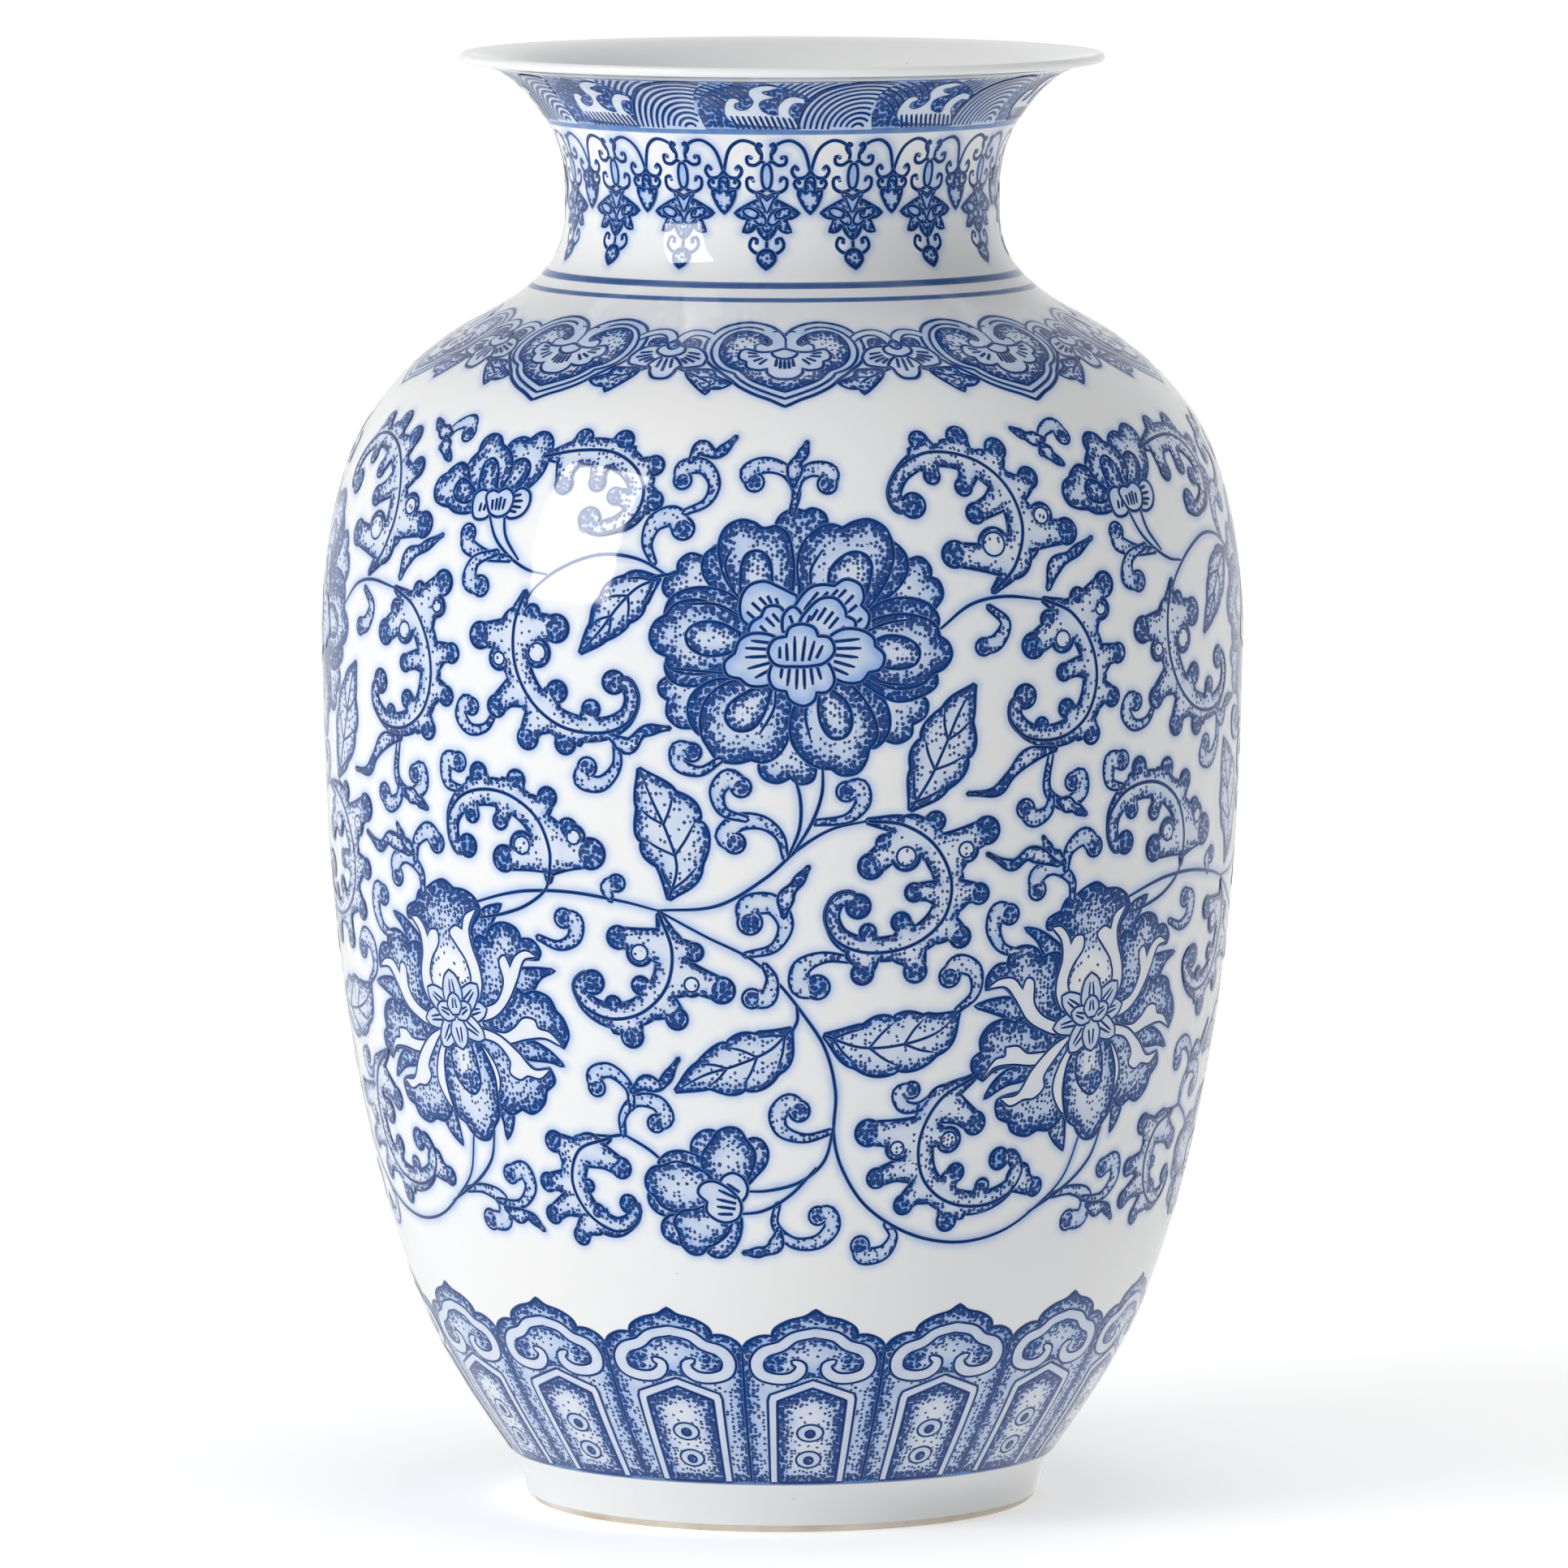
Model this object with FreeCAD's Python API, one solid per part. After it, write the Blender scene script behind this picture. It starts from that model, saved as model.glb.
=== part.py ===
import FreeCAD
import Part
import os

# A baluster vase in porcelain, made as a potter makes it, in millimetres, turned about the Z axis.
#
# The clay wall is four thrown sections: a base with its foot ring, a lower body, an upper body with the
# shoulder, and a neck with the flared mouth. A thin seam of slip lutes each section to the next. One coat of
# clear glaze runs from the foot up the outside, over the lip and down the inside to the floor, and a second one
# lines the recess under the base. The standing edge of the foot ring stays bare.
#
# The origin is the centre of the standing face, with +Z up.

V = FreeCAD.Vector

# Driving dimensions
HEIGHT = 260.0
MOUTH_RADIUS = 56.9
NECK_RADIUS = 38.9
BELLY_RADIUS = 82.5
FOOT_RADIUS = 46.2

LIP_WALL = 1.9
NECK_WALL = 2.6
BODY_WALL = 3.0
BASE_WALL = 4.6
GLAZE = 0.4
SLIP = 0.5

GLAZE_LINE = 1.3
FOOT_EDGE = 0.7
FOOT_RING_WIDTH = 6.4
RECESS_DEPTH = 3.6
RECESS_TAPER = 0.8
FLOOR_HEIGHT = 8.2
FLOOR_RADIUS = 32.0

# Heights of the middles of the slip seams, measured on the outside of the clay
BASE_SEAM = 21.0
WAIST_SEAM = 112.0
NECK_SEAM = 224.5

# The glazed outside, as radius, height and wall thickness, from the foot to the lip
OUTSIDE = [
    (FOOT_RADIUS, GLAZE_LINE, FOOT_RING_WIDTH),
    (47.6, 6.0, BASE_WALL),
    (50.0, 10.0, BASE_WALL),
    (61.4, 28.0, BODY_WALL + 0.6),
    (73.0, 61.0, BODY_WALL),
    (80.2, 104.0, BODY_WALL),
    (BELLY_RADIUS, 145.0, BODY_WALL),
    (80.6, 177.5, BODY_WALL),
    (73.1, 196.6, BODY_WALL),
    (57.6, 210.8, BODY_WALL),
    (46.2, 217.9, NECK_WALL + 0.2),
    (40.6, 224.2, NECK_WALL),
    (NECK_RADIUS, 233.0, NECK_WALL),
    (40.1, 243.0, NECK_WALL - 0.2),
    (44.9, 251.5, NECK_WALL - 0.4),
    (51.7, 257.0, LIP_WALL),
    (MOUTH_RADIUS, HEIGHT - LIP_WALL, LIP_WALL),
]
INSIDE_START = 3  # the first station above the foot ring, where the inside wall begins to follow the outside


def curve_through(points):
    """A smooth curve through points."""
    curve = Part.BSplineCurve()
    curve.interpolate(Points=points)
    return curve


def moved_in(curve, points, distances):
    """Points moved square off a curve that runs up the wall, towards the axis."""
    result = []
    for point, distance in zip(points, distances):
        along = curve.tangent(curve.parameter(point))[0]
        result.append(point + V(-along.z, 0, along.x) * distance)
    return result


def parameter_at(curve, height):
    """Where a curve that only rises passes a height."""
    low, high = curve.FirstParameter, curve.LastParameter
    for _ in range(40):
        middle = (low + high) / 2
        if curve.value(middle).z < height:
            low = middle
        else:
            high = middle
    return low


def straight(*points):
    """Straight edges from each point to the next."""
    return [Part.LineSegment(a, b).toShape() for a, b in zip(points, points[1:])]


def turned(edges):
    """The solid that a closed outline in the X-Z plane sweeps about the Z axis."""
    face = Part.Face(Part.Wire(Part.__sortEdges__(edges)))
    return face.revolve(V(0, 0, 0), V(0, 0, 1), 360)


def lip_edge(inner, outer):
    """The half round that joins the inside of the mouth to the outside, over the top."""
    across = outer - inner
    crown = (inner + outer) / 2 + V(-across.z, 0, across.x) / 2
    return Part.Arc(inner, crown, outer).toShape()


def wall_curves():
    """The outside and inside of the glaze, and of the clay under it, each running up the wall."""
    outside = [V(radius, 0, height) for radius, height, wall in OUTSIDE]
    glaze_out = curve_through(outside)
    clay_out = curve_through(moved_in(glaze_out, outside, [GLAZE] * len(outside)))
    walls = [wall for radius, height, wall in OUTSIDE]
    inside = moved_in(glaze_out, outside, walls)[INSIDE_START:]
    inside = [V(FLOOR_RADIUS, 0, FLOOR_HEIGHT), V(42.0, 0, 10.6)] + inside
    glaze_in = curve_through(inside)
    clay_in = curve_through(moved_in(glaze_in, inside, [-GLAZE] * len(inside)))
    return glaze_out, clay_out, clay_in, glaze_in


def cut_across(clay_out, clay_in, height):
    """Parameters on both sides of the clay where a cut square to the wall starts at a height outside."""
    outer = parameter_at(clay_out, height)
    return outer, clay_in.parameter(clay_out.value(outer))


def wall_ring(clay_out, clay_in, lower, upper):
    """The ring of wall between two cuts."""
    outer_edge = clay_out.toShape(lower[0], upper[0])
    inner_edge = clay_in.toShape(lower[1], upper[1])
    lower_edge = straight(clay_out.value(lower[0]), clay_in.value(lower[1]))
    upper_edge = straight(clay_out.value(upper[0]), clay_in.value(upper[1]))
    return turned([outer_edge, inner_edge] + lower_edge + upper_edge)


def base(clay_out, clay_in, upper):
    """The floor, the turned foot ring and the start of the wall, up to the first seam."""
    outer_foot = clay_out.StartPoint
    outer_corner = V(outer_foot.x - 0.3, 0, 0)
    inner_corner = V(FOOT_RADIUS - FOOT_RING_WIDTH, 0, 0)
    recess_corner = V(inner_corner.x - RECESS_TAPER, 0, RECESS_DEPTH)
    floor = clay_in.StartPoint
    below = straight(
        outer_foot,
        outer_corner + V(0, 0, FOOT_EDGE),
        outer_corner - V(FOOT_EDGE, 0, 0),
        inner_corner + V(FOOT_EDGE, 0, 0),
        inner_corner + V(0, 0, FOOT_EDGE),
        recess_corner,
        V(0, 0, RECESS_DEPTH),
        V(0, 0, floor.z),
        floor,
    )
    outer_edge = clay_out.toShape(clay_out.FirstParameter, upper[0])
    inner_edge = clay_in.toShape(clay_in.FirstParameter, upper[1])
    top = straight(clay_out.value(upper[0]), clay_in.value(upper[1]))
    return turned(below + [outer_edge, inner_edge] + top)


def neck(clay_out, clay_in, lower):
    """The neck and the flared mouth, from the last seam to the lip."""
    outer_edge = clay_out.toShape(lower[0], clay_out.LastParameter)
    inner_edge = clay_in.toShape(lower[1], clay_in.LastParameter)
    bottom = straight(clay_out.value(lower[0]), clay_in.value(lower[1]))
    lip = lip_edge(clay_in.EndPoint, clay_out.EndPoint)
    return turned([outer_edge, inner_edge, lip] + bottom)


def main_glaze(glaze_out, clay_out, clay_in, glaze_in):
    """One coat from the glaze line outside, over the lip, to the floor inside."""
    edges = [curve.toShape() for curve in (glaze_out, clay_out, clay_in, glaze_in)]
    edges.append(lip_edge(glaze_in.EndPoint, glaze_out.EndPoint))
    edges.append(lip_edge(clay_in.EndPoint, clay_out.EndPoint))
    edges += straight(glaze_out.StartPoint, clay_out.StartPoint)
    top, bottom = glaze_in.StartPoint, clay_in.StartPoint
    edges += straight(top, V(0, 0, top.z), V(0, 0, bottom.z), bottom)
    return turned(edges)


def recess_glaze():
    """The coat under the base, on the recess's ceiling and down the inner side of the foot ring."""
    foot = FOOT_RADIUS - FOOT_RING_WIDTH
    slope = RECESS_TAPER / (RECESS_DEPTH - FOOT_EDGE)
    rim = foot - slope * (GLAZE_LINE - FOOT_EDGE)
    ceiling = foot - RECESS_TAPER
    corner = ceiling + slope * GLAZE - GLAZE
    return turned(straight(
        V(0, 0, RECESS_DEPTH),
        V(ceiling, 0, RECESS_DEPTH),
        V(rim, 0, GLAZE_LINE),
        V(rim - GLAZE, 0, GLAZE_LINE),
        V(corner, 0, RECESS_DEPTH - GLAZE),
        V(0, 0, RECESS_DEPTH - GLAZE),
        V(0, 0, RECESS_DEPTH),
    ))


def build():
    """Every sub-part by name."""
    glaze_out, clay_out, clay_in, glaze_in = wall_curves()
    cuts = {}
    for name, height in (("base", BASE_SEAM), ("waist", WAIST_SEAM), ("neck", NECK_SEAM)):
        cuts[name] = [cut_across(clay_out, clay_in, height + side * SLIP / 2) for side in (-1, 1)]
    parts = {
        "base_and_foot_ring": base(clay_out, clay_in, cuts["base"][0]),
        "lower_body": wall_ring(clay_out, clay_in, cuts["base"][1], cuts["waist"][0]),
        "upper_body": wall_ring(clay_out, clay_in, cuts["waist"][1], cuts["neck"][0]),
        "neck_and_mouth": neck(clay_out, clay_in, cuts["neck"][1]),
        "main_glaze": main_glaze(glaze_out, clay_out, clay_in, glaze_in),
        "recess_glaze": recess_glaze(),
    }
    for name, (lower, upper) in cuts.items():
        parts[name + "_slip_seam"] = wall_ring(clay_out, clay_in, lower, upper)
    return parts


os.makedirs("parts", exist_ok=True)
for node, shape in build().items():
    shape.exportStep(os.path.join("parts", node + ".step"))
    box = shape.BoundBox
    print(node, shape.isValid(), "volume", round(shape.Volume), "bottom", round(box.ZMin, 2),
          "top", round(box.ZMax, 2), "radius", round(box.XMax, 2))
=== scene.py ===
import math

import bpy
import numpy as np
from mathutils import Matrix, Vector
from mathutils.geometry import delaunay_2d_cdt
from mathutils.kdtree import KDTree


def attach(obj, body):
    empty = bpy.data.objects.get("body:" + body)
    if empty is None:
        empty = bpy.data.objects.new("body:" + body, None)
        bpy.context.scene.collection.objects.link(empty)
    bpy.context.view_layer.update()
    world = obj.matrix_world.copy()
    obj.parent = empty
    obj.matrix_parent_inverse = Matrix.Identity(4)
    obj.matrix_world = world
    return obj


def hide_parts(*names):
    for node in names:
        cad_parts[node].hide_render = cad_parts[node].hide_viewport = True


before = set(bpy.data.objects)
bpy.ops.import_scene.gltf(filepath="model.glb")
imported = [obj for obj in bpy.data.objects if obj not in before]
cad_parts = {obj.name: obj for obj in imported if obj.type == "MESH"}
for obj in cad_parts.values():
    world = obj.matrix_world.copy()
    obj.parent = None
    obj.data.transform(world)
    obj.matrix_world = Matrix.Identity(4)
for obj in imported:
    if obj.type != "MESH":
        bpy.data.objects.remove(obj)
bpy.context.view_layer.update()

# A blue and white porcelain vase. A finely turned skin of the same size replaces the CAD glaze, and every
# painted motif is a thin mesh that lies on it. Motifs are drawn flat and wrapped round the vase. Their
# outlines are in degrees from the front and millimetres along the outside of the wall, from the glaze line
# on the foot.

MM = 0.001

# ---- The wall ----

# Stations of the glazed outside as radius, height and wall thickness in millimetres, as the CAD has them
STATIONS = np.array([
    (46.2, 1.3, 6.4), (47.6, 6.0, 4.6), (50.0, 10.0, 4.6), (61.4, 28.0, 3.6), (73.0, 61.0, 3.0),
    (80.2, 104.0, 3.0), (82.5, 145.0, 3.0), (80.6, 177.5, 3.0), (73.1, 196.6, 3.0), (57.6, 210.8, 3.0),
    (46.2, 217.9, 2.8), (40.6, 224.2, 2.6), (38.9, 233.0, 2.6), (40.1, 243.0, 2.4), (44.9, 251.5, 2.2),
    (51.7, 257.0, 1.9), (56.9, 258.1, 1.9),
])
FLOOR_STATIONS = [(32.0, 8.2), (42.0, 10.6)]   # radius and height on the floor inside
FIRST_INSIDE = 3      # the first station whose inside is wall, not floor
GLAZE = 0.4
WALL_POINTS = 4000    # for measuring along the wall
OUTSIDE_POINTS = 300  # rings of the turned skin outside, inside and round the lip
INSIDE_POINTS = 110
LIP_POINTS = 14
SEGMENTS = 288        # steps round the turned skin
SHARP = 50.0          # degrees between faces from which an edge of the skin is sharp


def natural_spline(points, count):
    """A natural cubic spline through points, spaced by chord length, as count points and unit tangents."""
    points = np.asarray(points, float)
    chord = np.hypot(*np.diff(points, axis=0).T)
    knots = np.r_[0.0, np.cumsum(chord)]
    size = len(points)
    system, right = np.eye(size), np.zeros((size, 2))
    for i in range(1, size - 1):
        system[i, i - 1:i + 2] = chord[i - 1], 2 * (chord[i - 1] + chord[i]), chord[i]
        right[i] = 6 * ((points[i + 1] - points[i]) / chord[i] - (points[i] - points[i - 1]) / chord[i - 1])
    bend = np.linalg.solve(system, right)
    where = np.linspace(0.0, knots[-1], count)
    i = np.clip(np.searchsorted(knots, where) - 1, 0, size - 2)
    h, a, b = chord[i, None], (knots[i + 1] - where)[:, None], (where - knots[i])[:, None]
    curve = (bend[i] * a ** 3 + bend[i + 1] * b ** 3) / (6 * h) \
        + (points[i] / h - bend[i] * h / 6) * a + (points[i + 1] / h - bend[i + 1] * h / 6) * b
    slope = (bend[i + 1] * b ** 2 - bend[i] * a ** 2) / (2 * h) \
        + (points[i + 1] - points[i]) / h - (bend[i + 1] - bend[i]) * h / 6
    return curve, slope / np.linalg.norm(slope, axis=1)[:, None]


WALL, WALL_RISE = natural_spline(STATIONS[:, :2], WALL_POINTS)
ALONG = np.r_[0.0, np.cumsum(np.hypot(*np.diff(WALL, axis=0).T))]


def on_wall(degrees, along, height):
    """Places on the vase at a height off the CAD glaze, and the wall's outward normals, in millimetres."""
    r, z = np.interp(along, ALONG, WALL[:, 0]), np.interp(along, ALONG, WALL[:, 1])
    out_r, out_z = np.interp(along, ALONG, WALL_RISE[:, 1]), -np.interp(along, ALONG, WALL_RISE[:, 0])
    angle = np.radians(degrees)
    ahead = np.stack([np.sin(angle), -np.cos(angle)], axis=-1)
    place = np.c_[ahead * (r + out_r * height)[:, None], z + out_z * height]
    return place, np.c_[ahead * out_r[:, None], out_z]


def left_of(tangents):
    """The tangents turned a quarter to the left."""
    return np.c_[-tangents[:, 1], tangents[:, 0]]


def coat_outline():
    """The glaze's section: up the outside, over the lip, down to the axis, and back along the clay."""
    outside, rise = natural_spline(STATIONS[:, :2], OUTSIDE_POINTS)
    outside += left_of(rise) * PAINT_DEPTH
    at_station = [np.argmin(np.hypot(*(WALL - station[:2]).T)) for station in STATIONS]
    inner = STATIONS[:, :2] + left_of(WALL_RISE[at_station]) * STATIONS[:, 2:]
    inside = natural_spline(np.vstack([FLOOR_STATIONS, inner[FIRST_INSIDE:]]), INSIDE_POINTS)[0]
    middle, half = (outside[-1] + inside[-1]) / 2, (outside[-1] - inside[-1]) / 2
    turn = np.linspace(0.0, math.pi, LIP_POINTS)[1:-1, None]
    lip = middle + half * np.cos(turn) + left_of(half[None])[0] * np.sin(turn)
    skin = np.vstack([outside, lip, inside[::-1], [(0.0, inside[0, 1])]])
    tangent = np.gradient(skin, axis=0)
    tangent /= np.linalg.norm(tangent, axis=1)[:, None]
    under = skin + left_of(tangent) * (GLAZE - PAINT_DEPTH)
    under[-1, 0] = 0.0
    under[-1, 1] = skin[-1, 1] - GLAZE
    return np.vstack([skin, under[::-1][:1], under[::-1][1::3], under[:1]])


def lathe(name, outline):
    """A closed mesh turned from a closed outline of (radius, height) points."""
    angles = np.linspace(0.0, 2 * math.pi, SEGMENTS, endpoint=False)
    vertices, rings = [], []
    for r, z in outline:
        if r < 1e-6:
            rings.append([len(vertices)] * SEGMENTS)
            vertices.append((0.0, 0.0, z))
        else:
            rings.append(list(range(len(vertices), len(vertices) + SEGMENTS)))
            vertices += [(r * math.sin(a), -r * math.cos(a), z) for a in angles]
    faces = []
    for low, high in zip(rings, rings[1:] + rings[:1]):
        for i in range(SEGMENTS):
            j = (i + 1) % SEGMENTS
            corners = list(dict.fromkeys([low[i], low[j], high[j], high[i]]))
            if len(corners) > 2:
                faces.append(corners)
    mesh = bpy.data.meshes.new(name)
    mesh.from_pydata([tuple(c * MM for c in v) for v in vertices], [], faces)
    mesh.shade_smooth()
    mesh.set_sharp_from_angle(angle=math.radians(SHARP))
    piece = bpy.data.objects.new(name, mesh)
    bpy.context.scene.collection.objects.link(piece)
    return piece


# ---- Materials ----

WHITE = (0.752, 0.768, 0.782, 1.0)
WARM_WHITE = (0.768, 0.768, 0.762, 1.0)
IRON_SPECK = (0.22, 0.17, 0.13, 1.0)
WASH = (0.165, 0.33, 0.67, 1.0)
DOT = (0.003, 0.030, 0.160, 1.0)
INK = (0.003, 0.022, 0.118, 1.0)
INK_THIN = (0.005, 0.037, 0.170, 1.0)
BISCUIT = (0.72, 0.68, 0.61, 1.0)
BISCUIT_DARK = (0.50, 0.42, 0.33, 1.0)
GLAZE_ROUGHNESS = 0.06
BISCUIT_ROUGHNESS = 0.62
IOR = 1.5


class Nodes:
    """A material in the making: it adds nodes, sets their inputs and links them.

    Inputs are given by name, or by number with an underscore before it.
    """

    def __init__(self, name, roughness):
        self.material = bpy.data.materials.new(name)
        self.material.use_nodes = True
        self.tree = self.material.node_tree
        self.shader = self.tree.nodes["Principled BSDF"]
        self.shader.inputs["Roughness"].default_value = roughness
        self.shader.inputs["IOR"].default_value = IOR

    def add(self, kind, settings=None, **inputs):
        node = self.tree.nodes.new(kind)
        for key, value in (settings or {}).items():
            setattr(node, key, value)
        for key, value in inputs.items():
            socket = node.inputs[int(key[1:])] if key[1:].isdigit() else node.inputs[key]
            if isinstance(value, bpy.types.NodeSocket):
                self.tree.links.new(value, socket)
            else:
                socket.default_value = value
        return node

    def maths(self, operation, a, b, c=0.0):
        return self.add("ShaderNodeMath", {"operation": operation}, _0=a, _1=b, _2=c).outputs[0]

    def noise(self, place, scale, detail=3.0):
        return self.add("ShaderNodeTexNoise", Vector=place, Scale=scale, Detail=detail).outputs["Fac"]

    def remap(self, value, low, high, to_low, to_high):
        """Maps the range from low to high onto the one from to_low to to_high, and clamps to it."""
        return self.add("ShaderNodeMapRange", None, _0=value, _1=low, _2=high, _3=to_low,
                        _4=to_high).outputs[0]

    def mix(self, amount, a, b):
        """Colour a where amount is 0 and colour b where it is 1."""
        return self.add("ShaderNodeMix", {"data_type": "RGBA"}, _0=amount, _6=a, _7=b).outputs[2]

    def finish(self, colour):
        """Sets the base colour and returns the material."""
        self.tree.links.new(colour, self.shader.inputs["Base Color"])
        return self.material


def body_place(nodes):
    """Places on the piece itself, in millimetres."""
    place = nodes.add("ShaderNodeTexCoord").outputs["Object"]
    return nodes.add("ShaderNodeVectorMath", {"operation": "SCALE"}, _0=place, _3=1 / MM).outputs[0]


def glazed_white():
    """White porcelain under clear glaze: faint cool and warm clouds, and tiny specks of iron."""
    nodes = Nodes("glazed_white", GLAZE_ROUGHNESS)
    place = body_place(nodes)
    clouds = nodes.noise(place, 0.03)
    ground = nodes.mix(nodes.remap(clouds, 0.35, 0.65, 0.0, 1.0), WHITE, WARM_WHITE)
    cells = nodes.add("ShaderNodeTexVoronoi", Vector=place, Scale=0.11).outputs["Distance"]
    speck = nodes.remap(cells, 0.014, 0.030, 0.35, 0.0)
    return nodes.finish(nodes.mix(speck, ground, IRON_SPECK))


def painted_blue():
    """Cobalt under glaze. The mesh says how much wash, stipple and line there is at each place.

    The stipple is one dot in each cell of a wandering grid, as big and as likely as the mesh says.
    """
    nodes = Nodes("painted_blue", GLAZE_ROUGHNESS)
    paint = nodes.add("ShaderNodeAttribute", {"attribute_name": "paint"}).outputs["Color"]
    wash, dots, line = nodes.add("ShaderNodeSeparateColor", Color=paint).outputs
    plan = nodes.add("ShaderNodeAttribute", {"attribute_name": "plan"}).outputs["Vector"]
    pools = nodes.noise(plan, 0.22)
    grain = nodes.noise(plan, 1.7)
    wander = nodes.add("ShaderNodeTexNoise", Vector=plan, Scale=0.9, Detail=2.0).outputs["Color"]
    wander = nodes.add("ShaderNodeVectorMath", {"operation": "SCALE"}, _0=wander, _3=0.55).outputs[0]
    dabs = nodes.add("ShaderNodeVectorMath", {"operation": "ADD"}, _0=plan, _1=wander).outputs[0]
    cells = nodes.add(
        "ShaderNodeTexVoronoi", {"voronoi_dimensions": "2D"}, Vector=dabs, Scale=1.2, Randomness=0.8,
    ).outputs
    chance = nodes.add("ShaderNodeSeparateColor", Color=cells["Color"]).outputs[0]
    there = nodes.maths("LESS_THAN", chance, nodes.maths("MULTIPLY_ADD", dots, 1.35, -0.02))
    size = nodes.remap(dots, 0.40, 1.0, 0.36, 0.66)
    stipple = nodes.remap(nodes.maths("SUBTRACT", size, cells["Distance"]), -0.05, 0.06, 0.0, 1.0)
    stipple = nodes.maths("MULTIPLY", stipple, nodes.remap(grain, 0.3, 0.7, 0.85, 1.0))
    stipple = nodes.maths("MULTIPLY", stipple, there)
    wash = nodes.maths("MULTIPLY", wash, nodes.remap(pools, 0.3, 0.7, 0.75, 1.15))
    ground = nodes.mix(nodes.maths("MINIMUM", wash, 1.0), WHITE, WASH)
    dotted = nodes.mix(stipple, ground, DOT)
    ink = nodes.mix(nodes.remap(pools, 0.35, 0.65, 0.0, 1.0), INK, INK_THIN)
    return nodes.finish(nodes.mix(line, dotted, ink))


def bare_biscuit():
    """Unglazed porcelain: dry, with a toasted edge low down where the kiln dust took."""
    nodes = Nodes("bare_biscuit", BISCUIT_ROUGHNESS)
    place = body_place(nodes)
    grain = nodes.noise(place, 1.3, 5.0)
    bump = nodes.add("ShaderNodeBump", Strength=0.25, Distance=0.0001, Height=grain).outputs[0]
    nodes.tree.links.new(bump, nodes.shader.inputs["Normal"])
    patches = nodes.remap(nodes.noise(place, 0.08), 0.4, 0.7, 0.25, 0.9)
    return nodes.finish(nodes.mix(patches, BISCUIT, BISCUIT_DARK))


MATERIALS = {"white": glazed_white(), "blue": painted_blue(), "biscuit": bare_biscuit()}

# ---- Drawing ----

# Sizes in millimetres
LINE = 0.5           # width of an ordinary brushed line
STEP = 0.55          # spacing of points along a curve
PAINT_DEPTH = 0.20   # the skin lies this far inside the CAD glaze, and the paint fills the gap
THICKEST = 0.012     # one layer of paint, or less in a sketch of many layers
LIFT = 0.015         # the paint keeps this far from the skin and from the CAD glaze
CELL = 1.2           # layers are counted in squares of this size
PROBE = 0.4          # a layer also claims the squares that its points reach at this distance
LINE_EDGE = 0.05     # soft edge outside a line's core
LINE_CORE = 0.75     # share of a line's width that is full strength
TIGHTEST = 0.85      # share of a bend's radius that the inside of a line may take up
THINNING = 3.5       # a line is at full width after one part in so many of its length
BLEED = 2.2          # how far the cobalt has run into the glaze
BLEED_GRID = 0.6     # spacing of the points in a sheet of it
BLEED_WASH = 0.68    # its strength beside a line


def smooth(points, closed=False, corners=(), step=STEP):
    """A flowing line through points of two or three values, which turns sharply only at the corners."""
    points = np.asarray(points, float)
    size = len(points)
    gaps = np.hypot(*(np.roll(points, -1, axis=0) - points)[:, :2].T) + 1e-9
    result = []
    for i in range(size if closed else size - 1):
        j = (i + 1) % size
        ends = []
        for k in (i, j):
            if k in corners or (not closed and k in (0, size - 1)):
                ends.append(points[j] - points[i])
            else:
                around = points[(k + 1) % size] - points[k - 1]
                ends.append(around / (gaps[k - 1] + gaps[k]) * gaps[i])
        t = np.linspace(0.0, 1.0, max(2, int(gaps[i] / step) + 1), endpoint=False)[:, None]
        result.append((2 * t ** 3 - 3 * t ** 2 + 1) * points[i] + (t ** 3 - 2 * t ** 2 + t) * ends[0]
                      + (3 * t ** 2 - 2 * t ** 3) * points[j] + (t ** 3 - t ** 2) * ends[1])
    if not closed:
        result.append(points[-1:])
    return np.vstack(result)


def sideways(path, closed=False):
    """Unit vectors to the left of a path at each of its points."""
    if closed:
        along = np.roll(path, -1, axis=0) - np.roll(path, 1, axis=0)
    else:
        along = np.gradient(path, axis=0)
    along /= np.linalg.norm(along, axis=1)[:, None] + 1e-12
    return left_of(along)


def bending(path, closed=False):
    """How sharply a path turns to its left at each point, as one over the radius."""
    ahead = np.roll(path, -1, axis=0) - path
    behind = np.roll(ahead, 1, axis=0)
    if not closed:
        ahead[-1], behind[0] = behind[-1], ahead[0]
    across = behind[:, 0] * ahead[:, 1] - behind[:, 1] * ahead[:, 0]
    long, short = np.hypot(*ahead.T) + 1e-9, np.hypot(*behind.T) + 1e-9
    return across / (long * short) / ((long + short) / 2)


def ellipse(x, y, wide, high=None, tilt=0.0):
    """A closed round outline."""
    high = high or wide
    turn = np.linspace(0.0, 2 * math.pi, max(10, int(6 * max(wide, high) / STEP)), endpoint=False)
    across, up = wide * np.cos(turn), high * np.sin(turn)
    c, s = math.cos(math.radians(tilt)), math.sin(math.radians(tilt))
    return np.c_[x + across * c - up * s, y + across * s + up * c]


def band(spine):
    """The outline of a strip whose half width is the third value of its spine's points, with round ends."""
    line = smooth(spine)
    path, half = line[:, :2], line[:, 2:]
    side = sideways(path)
    left, right = path + side * half, path - side * half

    def cap(centre, towards, radius):
        turn = np.linspace(0, math.pi, max(3, int(3 * radius / STEP)))[1:-1, None]
        return centre + radius * (towards * np.cos(turn) + np.array([towards[1],
                                                                     -towards[0]]) * np.sin(turn))

    return np.vstack([left, cap(path[-1], side[-1], half[-1]), right[::-1], cap(path[0], -side[0],
                                                                                half[0])])


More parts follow.
